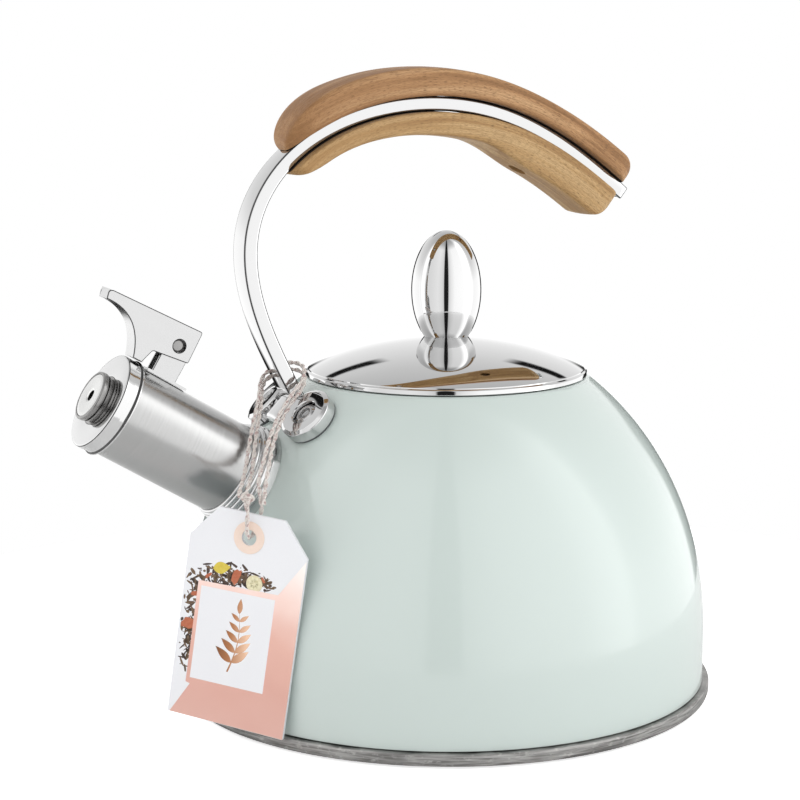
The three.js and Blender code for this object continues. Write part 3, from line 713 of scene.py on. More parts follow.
def body_profile(distance, steps):
    """The outer profile of the vessel, bottom to mouth, moved outwards by a distance."""
    points = [(BODY_RADIUS + distance, WALL_BOTTOM)]
    for i in range(steps + 1):
        angle = SHOULDER_ANGLE * i / steps
        at = dome_point(angle)
        at += distance * (dome_normal(angle) if i else Vector((1, 0)))
        points.append(tuple(at))
    return points


def body_solid(distance):
    points = body_profile(distance, 48)
    return raw("body_solid", revolve([(0, WALL_BOTTOM), *points, (0, points[-1][1])], 128))


def spout_frame():
    """+Z along the spout, +X above it, origin at its foot."""
    turn = Matrix.Rotation(SPOUT_ELEVATION - math.pi / 2, 4, "Y")
    return Matrix.Translation(SPOUT_FOOT * MM) @ turn


def lobe_frame(share):
    """On the shoulder: +Z along the outward normal, +X down the slope. The share is 1 at the near lobe."""
    angle = math.acos((SADDLE_RADIUS / BODY_RADIUS) ** (DOME_POWER_R / 2))
    at = dome_point(angle)
    normal = dome_normal(angle)
    lean = Matrix.Rotation(math.atan2(normal.x, normal.y), 4, "Y")
    place = Matrix.Translation((at.x * MM, 0, at.y * MM))
    return Matrix.Rotation(math.pi + share * LOBE_AZIMUTH, 4, "Z") @ place @ lean


def cut_at_lobes(target, radius, low, high, segments=48):
    """The same round hole at both lobes of the saddle."""
    for side in (-1, 1):
        combine(target, raw("bore", rod(radius, low, high, segments), lobe_frame(side)))


def make_vessel():
    outer = body_profile(0, 72)
    inner = body_profile(-SHELL, 36)[::-1]
    lip_top = outer[-1][1]
    lip = rounded(
        [outer[-1], (MOUTH_RADIUS, lip_top), (MOUTH_RADIUS, lip_top - SHELL), inner[0]],
        0.3, closed=False,
    )
    shell = raw("enamel_shell", revolve([*outer[:-1], *lip, *inner[1:]], 192))
    combine(shell, raw("hole", rod(SPOUT_HOLE, -30, 30, 64), spout_frame()))
    cut_at_lobes(shell, SCREW_HOLE, -12, 6, 24)
    piece(shell, "enamel", "kettle", "body_shell", sharp=50)

    inside = DISC_RADIUS + 2
    rim = rounded(
        [
            (inside, RIM_BOTTOM), (RIM_RADIUS - 0.4, RIM_BOTTOM), (RIM_RADIUS, RIM_BOTTOM + 1.2),
            (RIM_RADIUS, RIM_TOP - 0.6), (RIM_RADIUS - 0.5, RIM_TOP), (inside, RIM_TOP),
        ],
        [0.3, 0.8, 0.8, 0.5, 0.3, 0.3],
    )
    round_piece("rim_band", rim, 192, "rim", "kettle", "base_rim")

    # The underside: pressed rings and a shallow centre mark in a thin steel cover.
    cover = [(0, 0.25), (3.2, 0.25), (3.6, 0)]
    for ring in (26, 44, 62):
        cover += [(ring - 1.2, 0), (ring - 0.6, 0.3), (ring + 0.6, 0.3), (ring + 1.2, 0)]
    edge = rounded(
        [(70, 0), (DISC_RADIUS, 0), (DISC_RADIUS, RIM_TOP), (DISC_RADIUS - 0.7, RIM_TOP),
         (DISC_RADIUS - 0.7, 0.7)],
        [0, 1.2, 0.2, 0.2, 0.8], closed=False,
    )
    cover += [*edge, (0, 0.7)]
    round_piece("bottom_cover", cover, 160, "bottom", "kettle", "base_cover")


def lid_height(radius):
    """The height of the lid's dome at a radius. The turned lip goes round below the dome."""
    fall = (1 - (radius / LID_RADIUS) ** LID_POWER) ** LID_FLATNESS
    return LID_BOTTOM + LID_LIP + (LID_RISE - LID_LIP) * fall


def knob_height(angle):
    return KNOB_CENTRE + KNOB_HALF_HEIGHT * math.sin(angle)


def make_lid():
    hole = SCREW_HOLE
    shoulder = LID_RADIUS - 1.0
    steps = 60
    outer = []
    for i in range(steps + 1):
        radius = hole + (shoulder - hole) * math.sin(math.pi / 2 * (steps - i) / steps)
        outer.append((radius, lid_height(radius)))
    inner = [(max(hole, r - LID_SHEET), z - LID_SHEET) for r, z in outer if r > hole + LID_SHEET][::-1]
    inner.insert(0, (hole, inner[0][1]))
    edge = outer[0][1]
    lip = rounded(
        [
            inner[-1], (LID_RADIUS - LID_SHEET, LID_BOTTOM + 0.9), (LID_RADIUS - LID_SHEET, LID_BOTTOM),
            (LID_RADIUS, LID_BOTTOM), (LID_RADIUS, edge - 0.75), (shoulder + 0.1, edge - 0.35), outer[0],
        ],
        [0, 0.3, 0.2, 0.25, 0.55, 0.1, 0], closed=False,
    )
    dome = [*lip[1:-1], *outer, *inner[:-1]]
    round_piece("lid_dome", dome, 192, "mirror", "lid", "lid_cover", sharp=25)

    radius = MOUTH_RADIUS - 0.9
    skirt = rounded(
        [(radius - 0.7, LID_BOTTOM - 8.5), (radius, LID_BOTTOM - 8.5), (radius, LID_BOTTOM - 5),
         (radius + 0.35, LID_BOTTOM - 4), (radius, LID_BOTTOM - 3), (radius, LID_BOTTOM + 2.6),
         (radius - 0.7, LID_BOTTOM + 2.6)],
        0.25,
    )
    round_piece("lid_ring", skirt, 128, "steel_turned", "lid", "lid_skirt")

    # The knob's outline runs down until it meets the lid, and its foot follows the lid's slope.
    slit = 0.04
    foot_angle = -0.6
    while knob_height(foot_angle) > lid_height(KNOB_RADIUS * math.cos(foot_angle)) + slit:
        foot_angle -= 0.002
    foot = KNOB_RADIUS * math.cos(foot_angle)
    top = LID_BOTTOM + LID_RISE + 10
    knob = [(0, top), (hole, top)]
    for i in range(8):
        radius = hole + (foot - hole) * i / 8
        knob.append((radius, lid_height(radius) + slit))
    steps = 48
    for i in range(steps):
        angle = foot_angle + (math.pi / 2 - foot_angle) * i / steps
        knob.append((KNOB_RADIUS * math.cos(angle), knob_height(angle)))
    knob.append((0, KNOB_CENTRE + KNOB_HALF_HEIGHT))
    round_piece("egg_knob", knob, 96, "mirror", "lid", "lid_knob")


# ---- Spout, cap and whistle ----------------------------------------------------------------------
def make_spout():
    place = spout_frame()
    inner = SPOUT_RADIUS - 0.9
    tube = rounded(
        [(inner, -12), (SPOUT_RADIUS, -12), (SPOUT_RADIUS, SPOUT_END), (inner, SPOUT_END)], 0.35
    )
    tube = subdivided(tube, 24)
    round_piece("spout_pipe", tube, 128, "steel_tube", "kettle", "spout_tube", place=place)

    # Rolled ridges, each a half round, step down from the vessel to the pipe.
    widest, start, _ = COLLAR_RIDGES[0]
    bore = SPOUT_RADIUS + 0.1
    collar = [(bore, -16), (widest, -16), (widest, start)]
    for radius, low, high in COLLAR_RIDGES:
        middle, half = (low + high) / 2, (high - low) / 2
        for i in range(1, 8):
            angle = math.pi * i / 8
            out = radius - COLLAR_ROLL + COLLAR_ROLL * math.sin(angle)
            collar.append((out, middle - half * math.cos(angle)))
    collar.append((bore, COLLAR_RIDGES[-1][2]))
    ring = raw("spout_ring", revolve(collar, 128), place)
    combine(ring, body_solid(0.1))
    piece(ring, "mirror", "kettle", "spout_collar")


def subdivided(points, parts):
    """Splits the two long sides of a tube's profile, so that its faces stay short."""
    result = []
    for i, start in enumerate(points):
        end = points[(i + 1) % len(points)]
        length = math.dist(start, end)
        count = parts if length > 10 else 1
        for k in range(count):
            t = k / count
            result.append((start[0] + (end[0] - start[0]) * t, start[1] + (end[1] - start[1]) * t))
    return result


def in_line(polygon, heights):
    """Whether an outward face of the cap's wall lies between two heights along the spout."""
    centre = polygon.center / MM
    return heights[0] < centre.z < heights[1] and math.hypot(centre.x, centre.y) > CAP_RADIUS - 0.75


def make_cap():
    place = spout_frame()
    bore = CAP_RADIUS - 0.55
    hole = DRUM_RADIUS + 0.12
    cap = rounded(
        [
            (bore, CAP_REAR), (CAP_RADIUS, CAP_REAR), (CAP_RADIUS, CAP_REAR + 0.45),
            (CAP_RADIUS - 0.6, CAP_REAR + 1.3), (CAP_RADIUS - 0.45, CAP_FACE),
            (hole, CAP_FACE), (hole, CAP_FACE - 0.7), (bore, CAP_FACE - 0.7),
        ],
        [0.1, 0.15, 0.2, 0.8, 0.7, 0.25, 0.1, 0.5], steps=6,
    )
    cup = round_piece("cap_cup", cap, 128, "steel_cap", "lever", "spout_cap", place=place)
    # Painted shade: a dark band just behind the rear lip, where a groove would hold shade, and a dark line
    # at the front corner, where a dark reflection falls.
    edge_faces(cup, "painted_dark_edge", lambda polygon: in_line(polygon, (CAP_REAR + 0.5, CAP_REAR + 1.15)))
    edge_faces(cup, "painted_dark_edge", lambda polygon: in_line(polygon, (CAP_FACE - 0.45, CAP_FACE - 0.2)))

    top = CAP_FACE + DRUM_PROUD
    drum = [(DRUM_RADIUS - 1.5, 53), (DRUM_RADIUS - 0.2, 53)]
    for low, high, sunk in DRUM_BANDS:
        drum += [(DRUM_RADIUS - sunk, low + 0.08), (DRUM_RADIUS - sunk, high - 0.08)]
    drum += rounded(
        [(DRUM_RADIUS, 58.45), (DRUM_RADIUS, top), (DRUM_RADIUS - 1.5, top)], [0, 0.7, 0.2], closed=False
    )[:-1]
    drum += [(DRUM_RADIUS - 0.95, top), (DRUM_RADIUS - 0.95, top - 0.9), (DRUM_RADIUS - 1.5, top - 0.9)]
    round_piece("whistle_ring", drum, 96, "steel_worn", "lever", "whistle_drum", place=place)

    outer = DRUM_RADIUS - 1.0
    front = rounded(
        [(WHISTLE_HOLE, top - 0.8), (outer, top - 0.8), (outer, top - 0.05), (outer - 1.4, top),
         (WHISTLE_HOLE + 0.6, top - 0.15), (WHISTLE_HOLE, top - 0.45)],
        [0.1, 0.1, 0.4, 0.8, 0.4, 0.1],
    )
    round_piece("whistle_face", front, 96, "steel_face", "lever", "whistle_front_disc", place=place)


def bezier(points, steps):
    """Points on a cubic Bezier curve of two-number points, ends included."""
    a, b, c, d = (Vector(p) for p in points)
    result = []
    for i in range(steps + 1):
        t = i / steps
        s = 1 - t
        result.append(tuple(a * s ** 3 + b * 3 * s * s * t + c * 3 * s * t * t + d * t ** 3))
    return result


def make_lever():
    """The thumb lever: two side plates and a curved web between them. Its outlines are (above, along)."""
    place = spout_frame()
    foot = CAP_RADIUS + 0.12
    front = bezier([(foot, 54.6), (23.6, 56.6), (31.2, 61), (30, 72.2)], 18)
    side = [
        *rounded([(30.6, 72.6), (33.4, 72.9), (35.9, 37), (24.4, 36.5), (22.5, 49.6), (foot, 51.2)],
                 [0.6, 1.4, 0.8, 0.6, 0.8, 0.8], steps=2, closed=False)[1:],
        *front,
    ]
    web = [
        (33.3, 72.9), (33.3, 71.0),
        *bezier([(32.9, 70.2), (32.2, 59.8), (24.4, 55.4), (foot, 53.6)], 18),
        *front,
    ]
    width = LEVER_HALF_WIDTH
    lever = raw("lever_plates", sheet(side, width - 1, width, 0.3), place)
    combine(lever, raw("web", prism(web, 0.5 - width, width - 0.5), place), "UNION")
    combine(lever, raw("far", sheet(side, -width, 1 - width, 0.3), place), "UNION")
    strap = [(foot, 50.6), (foot + 0.9, 50.6), (foot + 0.9, 54.4), (foot, 54.4)]
    combine(lever, raw("strap", prism(strap, 0.5 - width, width - 0.5), place), "UNION")
    combine(lever, across_pivot("hole", rod(PIN_RADIUS + 0.1, -12, 12), place))
    piece(lever, "steel_satin", "lever", "whistle_lever", sharp=25)
    # Painted shade: the chamfers and rounded edges of the plates get near-black steel, as dark outlines.
    edge_faces(lever, "painted_dark_edge", across_edge)


def across_pivot(name, shape, place):
    """A round shape laid along the lever's pivot."""
    turn = Matrix.Rotation(math.pi / 2, 4, "X")
    at = Matrix.Translation(Vector((PIVOT_ABOVE, 0, PIVOT_ALONG)) * MM)
    return raw(name, shape, place @ at @ turn)


def make_lever_bracket():
    place = spout_frame()
    outer = LEVER_HALF_WIDTH - 1 - GAP
    low = SPOUT_RADIUS + 0.12
    top = PIVOT_ABOVE + 4.4
    ear = [(low, 36.8), (low, 46), (top, 46), (top, 37.2), (27, 36.8)]
    ear = rounded(ear, [0, 0, 4.2, 4.2, 1], steps=10)
    strap = rounded([(low, 32.2), (low + 0.9, 32.2), (low + 0.9, 47.6), (low, 47.6)], 0.2)
    bracket = raw("pivot_ears", prism(strap, -outer, outer), place)
    for centre in (outer - 0.5, 0.5 - outer):
        combine(bracket, raw("ear", sheet(ear, centre - 0.5, centre + 0.5, 0.2), place), "UNION")
    combine(bracket, across_pivot("hole", rod(PIN_RADIUS + 0.1, -12, 12), place))
    piece(bracket, "steel_satin", "kettle", "lever_bracket", sharp=25)
    # Painted shade: the chamfers and rounded edges of the ears and strap get near-black steel, as dark
    # outlines.
    edge_faces(bracket, "painted_dark_edge", across_edge)

    half = LEVER_HALF_WIDTH - 1.1
    radius = PIN_RADIUS - 0.25
    dish = rounded(
        [(0, -half), (radius - 0.5, -half + 0.1), (radius, -half + 0.5), (radius, half - 0.5),
         (radius - 0.5, half - 0.1), (0, half)],
        0.3, closed=False,
    )
    pin = across_pivot("rivet", revolve(dish, 48), place)
    piece(pin, "steel_worn", "kettle", "pivot_pin")


# ---- Handle --------------------------------------------------------------------------------------
def measured_bar():
    """The bar's centre line as fine points, and each point's share of the length."""
    points = []
    for curve in BAR_CURVES:
        points += bezier(curve, 200)[(1 if points else 0):]
    points = np.array(points)
    steps = np.linalg.norm(np.diff(points, axis=0), axis=1)
    along = np.concatenate([[0], np.cumsum(steps)])
    return points, along / along[-1], along[-1]


BAR_POINTS, BAR_SHARES, BAR_LENGTH = measured_bar()


def on_bar(share):
    """The bar's centre, its direction and its outward side at a share of its length, in the XZ plane."""
    def at(s):
        return Vector([np.interp(s, BAR_SHARES, BAR_POINTS[:, k]) for k in (0, 1)])
    along = (at(min(share + 0.002, 1)) - at(max(share - 0.002, 0))).normalized()
    return at(share), along, Vector((-along.y, along.x))


def bar_ring(share, section):
    """A ring of points round the bar from a section of (across, outward) points."""
    centre, _, outward = on_bar(share)
    return [
        (centre.x + outward.x * high, across, centre.y + outward.y * high) for across, high in section
    ]


def bar_section(half_width, half_thickness, corner):
    corners = [
        (-half_width, -half_thickness), (half_width, -half_thickness),
        (half_width, half_thickness), (-half_width, half_thickness),
    ]
    return rounded(corners, corner, steps=4)


def bar_shape(grow=0.0, stations=150):
    """The bar from its foot to its free end, with small chamfers at the free end."""
    foot = (BAR_FOOT - grow) / BAR_LENGTH
    rings = []
    for i in range(stations + 1):
        share = foot + (1 - 0.5 / BAR_LENGTH - foot) * i / stations
        section = bar_section(BAR_HALF_WIDTH + grow, BAR_HALF_THICKNESS + grow, 0.85)
        rings.append(bar_ring(share, section))
    for share, shrink in ((1 - 0.15 / BAR_LENGTH, 0.15), (1.0, 0.5)):
        section = bar_section(BAR_HALF_WIDTH + grow - shrink, BAR_HALF_THICKNESS + grow - shrink, 0.6)
        rings.append(bar_ring(share, section))
    return loft(rings)


def smooth_step(value, low, high):
    t = min(1.0, max(0.0, (value - low) / (high - low)))
    return t * t * (3 - 2 * t)


def nose(share, start, end, start_length, end_length):
    """A rounded fall to 0 over a length at both ends of a range, and 1 between."""
    from_start = min(1.0, max(0.0, (share - start) / start_length))
    from_end = min(1.0, max(0.0, (end - share) / end_length))
    return math.sqrt(1 - (1 - from_start) ** 2) * math.sqrt(1 - (1 - from_end) ** 2)


# A grip runs over a range of the bar's length. Towards its ends its depth falls off over the noses
# and its width over the plan. It lies outside the bar, side 1, or inside it, side -1.
UPPER = {
    "range": (0.392, 0.988),
    "noses": (0.1, 0.035),
    "plan": (0.075, 0.03),
    "thickness": lambda s: 9.9 - 2.4 * smooth_step(s, 0.55, 0.85),
    "side": 1,
}
LOWER = {
    "range": (0.372, 0.988),
    "noses": (0.06, 0.03),
    "plan": (0.02, 0.02),
    "thickness": lambda s: 5.6 + 3 * smooth_step(s, 0.42, 0.72) + 3.8 * smooth_step(s, 0.7, 0.83),
    "side": -1,
}


def grip_section(half_width, seat, depth, side):
    """A flat seat, upright sides and a softly crowned face with broad round corners."""
    corner = min(2.6, depth * 0.45, half_width * 0.45)
    crown = min(0.5, depth * 0.08)
    top = seat + depth
    beside_bar = min(half_width - 1.2, BAR_HALF_WIDTH + 0.7)
    points = [
        (-half_width, seat), (-beside_bar, seat), (beside_bar, seat), (half_width, seat),
        (half_width, top - crown),
    ]
    for i in range(1, 6):
        across = half_width * (1 - 2 * i / 6)
        points.append((across, top - crown * (across / half_width) ** 2))
    points.append((-half_width, top - crown))
    radii = [0.9, 0, 0, 0.9, corner, 0, 0, 0, 0, 0, corner]
    section = rounded(points, radii, steps=5)
    return [(across, side * high) for across, high in section]


def places_on_bar(mesh):
    """Each vertex's way along the bar, its distance across and its distance outwards, in millimetres."""
    points = np.empty(3 * len(mesh.vertices))
    mesh.vertices.foreach_get("co", points)
    points = points.reshape(-1, 3) / MM
    flat = points[:, [0, 2]]
    nearest = np.argmin(((flat[:, None] - BAR_POINTS[None]) ** 2).sum(axis=2), axis=1)
    along = np.gradient(BAR_POINTS, axis=0)
    along = (along / np.linalg.norm(along, axis=1)[:, None])[nearest]
    offset = flat - BAR_POINTS[nearest]
    travelled = BAR_SHARES[nearest] * BAR_LENGTH + (offset * along).sum(axis=1)
    outward = offset[:, 1] * along[:, 0] - offset[:, 0] * along[:, 1]
    return np.column_stack([travelled, points[:, 1], outward])


def cut_screw_bores(target, radius, low, high):
    """Bores a piece of the handle at both grip screws, from low to high outwards of the bar's centre."""
    for share in SCREW_SHARES:
        centre, along, outward = on_bar(share)
        place = Matrix((
            (along.x, 0, outward.x, centre.x * MM), (0, 1, 0, 0), (along.y, 0, outward.y, centre.y * MM),
            (0, 0, 0, 1),
        ))
        combine(target, raw("bore", rod(radius, low, high, 32), place))


def make_grip(name, shape, look, node):
    low, high = shape["range"]
    start_nose, end_nose = shape["noses"]
    start_plan, end_plan = shape["plan"]
    seat = BAR_HALF_THICKNESS + 0.2
    stations = 110
    rings = []
    for i in range(stations + 1):
        share = low + (high - low) * (1 - math.cos(math.pi * i / stations)) / 2
        fall = nose(share, low, high, start_nose, end_nose)
        narrow = nose(share, low, high, start_plan, end_plan)
        depth = 0.35 + shape["thickness"](share) * fall
        half_width = 2.5 + (GRIP_HALF_WIDTH - 2.5) * narrow
        section = grip_section(half_width, seat, depth, shape["side"])
        rings.append(bar_ring(share, section))
    grip = raw(name, loft(rings))
    if shape["side"] < 0:
        cut_screw_bores(grip, SCREW_BORE, -30, 0)
        cut_screw_bores(grip, SCREW_HEAD_BORE, -30, SCREW_SEAT)
    else:
        cut_screw_bores(grip, SCREW_BORE, 0, 7)
    piece(grip, look, "kettle", node, sharp=50)
    places = places_on_bar(grip.data)
    layer = grip.data.attributes.new("grain", "FLOAT_VECTOR", "POINT")
    layer.data.foreach_set("vector", places.astype(np.float32).ravel())
    # Painted shade: the faces of the wood beside the bar get the near-black look, where shade falls in the
    # gap.
    by_bar = (abs(places[:, 2]) < seat + 0.1) & (abs(places[:, 1]) < BAR_HALF_WIDTH + 0.8)
    edge_faces(grip, "painted_seam_shade", lambda polygon: all(by_bar[i] for i in polygon.vertices))


def make_handle():
    bar = raw("chrome_bar", bar_shape())
    cut_screw_bores(bar, SCREW_BORE, -9, 9)
    piece(bar, "chrome", "kettle", "handle_bar", sharp=60)
    # Painted shade: the rounded corners of the bar get near-black steel, as dark outlines where dark
    # reflections fall.
    edge_faces(bar, "painted_dark_edge", lambda polygon: across_edge(polygon, 0.2))
    make_grip("grip_over", UPPER, "dark_wood", "upper_grip")
    make_grip("grip_under", LOWER, "light_wood", "lower_grip")


def coin(height, edge):
    """One lobe's outline: a round coin with a rolled rim, a face a little hollow and a screw recess."""
    recess = 4.6
    return rounded(
        [
            (0, -9), (LOBE_RADIUS, -9), (LOBE_RADIUS, height - 0.8), (LOBE_RADIUS - edge, height),
            (recess + 0.3, height - 0.1), (recess, height - 0.4), (recess, height - 2.8), (0, height - 2.8),
        ],
        [0, 0, 0.5, 0.4, 0.15, 0.15, 0.4, 0], steps=6, closed=False,
    )


def make_bracket():
    """Two coins joined by a waist that dips between them and rises to hold the foot of the bar."""
    rings = []
    stations = 40
    for i in range(stations + 1):
        share = 2 * i / stations - 1
        # Half the waist's width and its height, both greater towards the coins. It rises at the bar too.
        waist = 5.0 + 2.6 * abs(share) ** 1.6
        top = 3.4 + 1.4 * abs(share) ** 3 + 1.3 * math.exp(-(share / 0.33) ** 4)
        corners = [(-waist, -6), (waist, -6), (waist, top), (-waist, top)]
        section = rounded(corners, [0, 0, 1.7, 1.7], steps=6)
        place = lobe_frame(share)
        ring = []
        for x, z in section:
            at = place @ Vector((x * MM, 0, z * MM))
            ring.append(tuple(c / MM for c in at))
        rings.append(ring)
    bracket = raw("saddle", loft(rings))
    cut_at_lobes(bracket, COIN_SEAT, 0, 9)
    for side in (-1, 1):
        combine(bracket, raw("coin", revolve(coin(LOBE_HEIGHT, 1.3), 96), lobe_frame(side)), "UNION")
    combine(bracket, raw("socket", bar_shape(0.08, 40)))
    combine(bracket, body_solid(SEAT_HEIGHT))
    cut_at_lobes(bracket, SADDLE_HOLE, -12, 9, 32)
    piece(bracket, "mirror", "kettle", "handle_bracket", sharp=35)

    outline = [(-5, -7.5), (5, -7.5), (5, 7.5), (-5, 7.5)]
    gasket = raw("seat_gasket", prism(outline, -10, 10, "XYZ"), lobe_frame(0))
    radius = LOBE_RADIUS - 0.25
    for side in (-1, 1):
        disc = revolve([(SCREW_HOLE, -9), (radius, -9), (radius, 6), (SCREW_HOLE, 6)], 64)
        combine(gasket, raw("disc", disc, lobe_frame(side)), "UNION")
    combine(gasket, body_solid(SEAT_HEIGHT - 0.05), "INTERSECT")
    combine(gasket, body_solid(0.1))
    piece(gasket, "silicone", "kettle", "bracket_gasket")

    for side, name in ((1, "near"), (-1, "far")):
        head = rounded(
            [
                (0, -8), (2, -8), (2, 2.3), (4.2, 2.3), (4.2, 3.4), (2.9, 4.3), (2.2, 4.3), (2.0, 2.9),
                (0, 2.7),
            ],
            [0, 0.2, 0.1, 0.2, 0.6, 0.5, 0.2, 0.2, 0], closed=False,
        )
        round_piece(
            f"lobe_screw_{name}", head, 48, "steel_satin", "kettle",
            f"bracket_screw_{name}", place=lobe_frame(side),
        )


# ---- Hang tag ------------------------------------------------------------------------------------
def tag_frame():
    """Origin at the hole on the front face, +X right, +Y up, +Z out of the front."""
    facing = Vector((
        math.cos(TAG_AZIMUTH) * math.cos(TAG_LEAN),
        math.sin(TAG_AZIMUTH) * math.cos(TAG_LEAN),
        math.sin(TAG_LEAN),
    ))
    right = Vector((-math.sin(TAG_AZIMUTH), math.cos(TAG_AZIMUTH), 0))
    up = facing.cross(right)
    basis = Matrix((right, up, facing)).transposed().to_4x4()
    return Matrix.Translation(TAG_HOLE * MM) @ basis @ Matrix.Rotation(TAG_TURN, 4, "Z")


def make_card(name, front, node, place):
    """One leaf of the tag, with a round hole."""
    x, top, bottom = TAG_HALF_WIDTH, TAG_TOP, TAG_BOTTOM
    cut_x, cut_y = TAG_CHAMFER
    outline = rounded(
        [(-x, bottom), (x, bottom), (x, top - cut_y), (x - cut_x, top), (cut_x - x, top), (-x, top - cut_y)],
        0.4,
    )
    card = raw(name, prism(outline, front - CARD, front, "XYZ"), place)
    combine(card, raw("hole", rod(TAG_HOLE_RADIUS, -3, 3), place))
    piece(card, "card", "tag", node, sharp=30)


def speck(random_source, centre, length, width, angle, corners=7):
    """An uneven flake: an outline of a given length and width, turned by an angle."""
    points = []
    for i in range(corners):
        around = 2 * math.pi * i / corners
        reach = random_source.uniform(0.65, 1.1)
        x = length / 2 * math.cos(around) * reach
        y = width / 2 * math.sin(around) * reach
        points.append((
            centre[0] + x * math.cos(angle) - y * math.sin(angle),
            centre[1] + x * math.sin(angle) + y * math.cos(angle),
        ))
    return points


def disc_outline(centre, radius, corners=28):
    return [
        (centre[0] + radius * math.cos(2 * math.pi * i / corners),
         centre[1] + radius * math.sin(2 * math.pi * i / corners))
        for i in range(corners)
    ]


def leaf_outline(root, length, width, angle):
    """A pointed leaf from its root, in the direction of an angle."""
    points = []
    count = 10
    for side in (1, -1):
        for i in range(count):
            t = (i if side == 1 else count - i) / count
            across = side * width / 2 * math.sin(math.pi * t ** 0.8)
            along = length * t
            points.append((
                root[0] + along * math.cos(angle) - across * math.sin(angle),
                root[1] + along * math.sin(angle) + across * math.cos(angle),
            ))
    return points


def flat_print(name, shapes, low, high, look, place):
    """Thin flat shapes lying on the face of the card, as one piece."""
    parts = [prism(outline, low, high, "XYZ") for outline in shapes]
    piece(raw(name, joined(*parts), place), look, "tag", sharp=20)


# The heap of printed leaf flakes runs up the left side of the panel and along its top.
HEAP_LINE = [
    (-16.6, -46), (-17.0, -38), (-17.6, -28), (-16.2, -18.6), (-8, -14.8), (0, -13.8), (9.5, -14.6),
]
FLAKES = 300
CRUMBS = 46
# The centre, length, width and turn of each red petal among them.
RED_PETALS = [
    ((-2.6, -13.6), 6.2, 3.0, 1.3), ((-16.6, -22.6), 3.2, 2.2, 0.3), ((-17.6, -32.8), 5.6, 4.6, 0.4),
    ((-12.5, -15.5), 3.2, 1.4, 0.8), ((6.8, -12.8), 2.6, 1.2, 2.2),
]
SLICE_CENTRE = Vector((3.9, -14.8))


def heap_place(share):
    """A point on the heap's line and its direction."""
    reach = share * (len(HEAP_LINE) - 1)
    i = min(int(reach), len(HEAP_LINE) - 2)
    start, end = Vector(HEAP_LINE[i]), Vector(HEAP_LINE[i + 1])
    return start.lerp(end, reach - i), math.atan2(end.y - start.y, end.x - start.x)


def print_heap(place):
    """Random flakes and crumbs from a fixed seed, in three layers by their look."""
    source = random.Random(7)
    flakes = {"flake_dark": [], "flake_brown": [], "flake_red": []}
    for i in range(FLAKES):
        share = source.random() ** 0.8
        at, angle = heap_place(share)
        spread = 1.4 + 1.5 * math.sin(math.pi * share) ** 2
        centre = (at.x + source.gauss(0, spread * 0.7), at.y + source.gauss(0, spread * 0.9))
        long = source.uniform(1.0, 4.6)
        turn = angle + source.gauss(0, 1.1)
        flake = speck(source, centre, long, source.uniform(0.5, 1.5), turn)
        if all(abs(x) < TAG_HALF_WIDTH - 0.4 for x, _ in flake):
            flakes["flake_dark" if source.random() < 0.6 else "flake_brown"].append(flake)
    for i in range(CRUMBS):
        at, _ = heap_place(source.random())
        centre = (at.x + source.gauss(0, 3.2), at.y + source.gauss(0, 2.6))
        if abs(centre[0]) < TAG_HALF_WIDTH - 1.2:
            flakes["flake_dark"].append(
                speck(source, centre, source.uniform(0.4, 0.9), source.uniform(0.3, 0.6), 0.0, 6)
            )
    for centre, long, wide, turn in RED_PETALS:
        flakes["flake_red"].append(speck(source, centre, long, wide, turn, 11))
    for i, (look, shapes) in enumerate(flakes.items()):
        flat_print(look, shapes, 0.01 + 0.006 * i, 0.014 + 0.006 * i, look, place)


def print_slice(place):
    """A slice of fruit: a pale disc with eight wedges on it."""
    flat_print("slice_rind", [disc_outline(SLICE_CENTRE, 2.9)], 0.03, 0.034, "slice_rind", place)
    wedges = []
    for i in range(8):
        angle = 2 * math.pi * (i + 0.5) / 8
        root = (SLICE_CENTRE.x + 0.3 * math.cos(angle), SLICE_CENTRE.y + 0.3 * math.sin(angle))
        wedges.append(leaf_outline(root, 2.2, 1.5, angle))
    flat_print("slice_flesh", wedges, 0.036, 0.04, "slice_flesh", place)


def make_print(place):
    """The printed face of the tag, built up in thin layers, and the ring round its hole."""
    print_heap(place)
    petals = [leaf_outline((-11.2, -12.8), 6.4, 4.0, 0.28)]
    flat_print("petal_yellow", petals, 0.03, 0.034, "petal", place)
    print_slice(place)
    foil_sheet = [
        (20.9, -3.6), (12.7, -16.6), (-15.8, -17.7), (-15.8, -52.6), (-14.2, -53), (-20.2, -63.9),
        (20.9, -63.9),
    ]
    flat_print("foil_sheet", [foil_sheet], 0.042, 0.052, "foil", place)
    panel = [(-14.5, -50.9), (-14.5, -19.3), (11.9, -18.5), (11.9, -50.4)]
    flat_print("white_panel", [panel], 0.054, 0.062, "card", place)
    make_sprig(place)

    hole = TAG_HOLE_RADIUS
    ring = rounded([(hole, 0.02), (5.4, 0.02), (5.4, 0.24), (hole, 0.24)], 0.06)
    round_piece("hole_ring", ring, 64, "ring_card", "tag", "tag_ring", place=place)


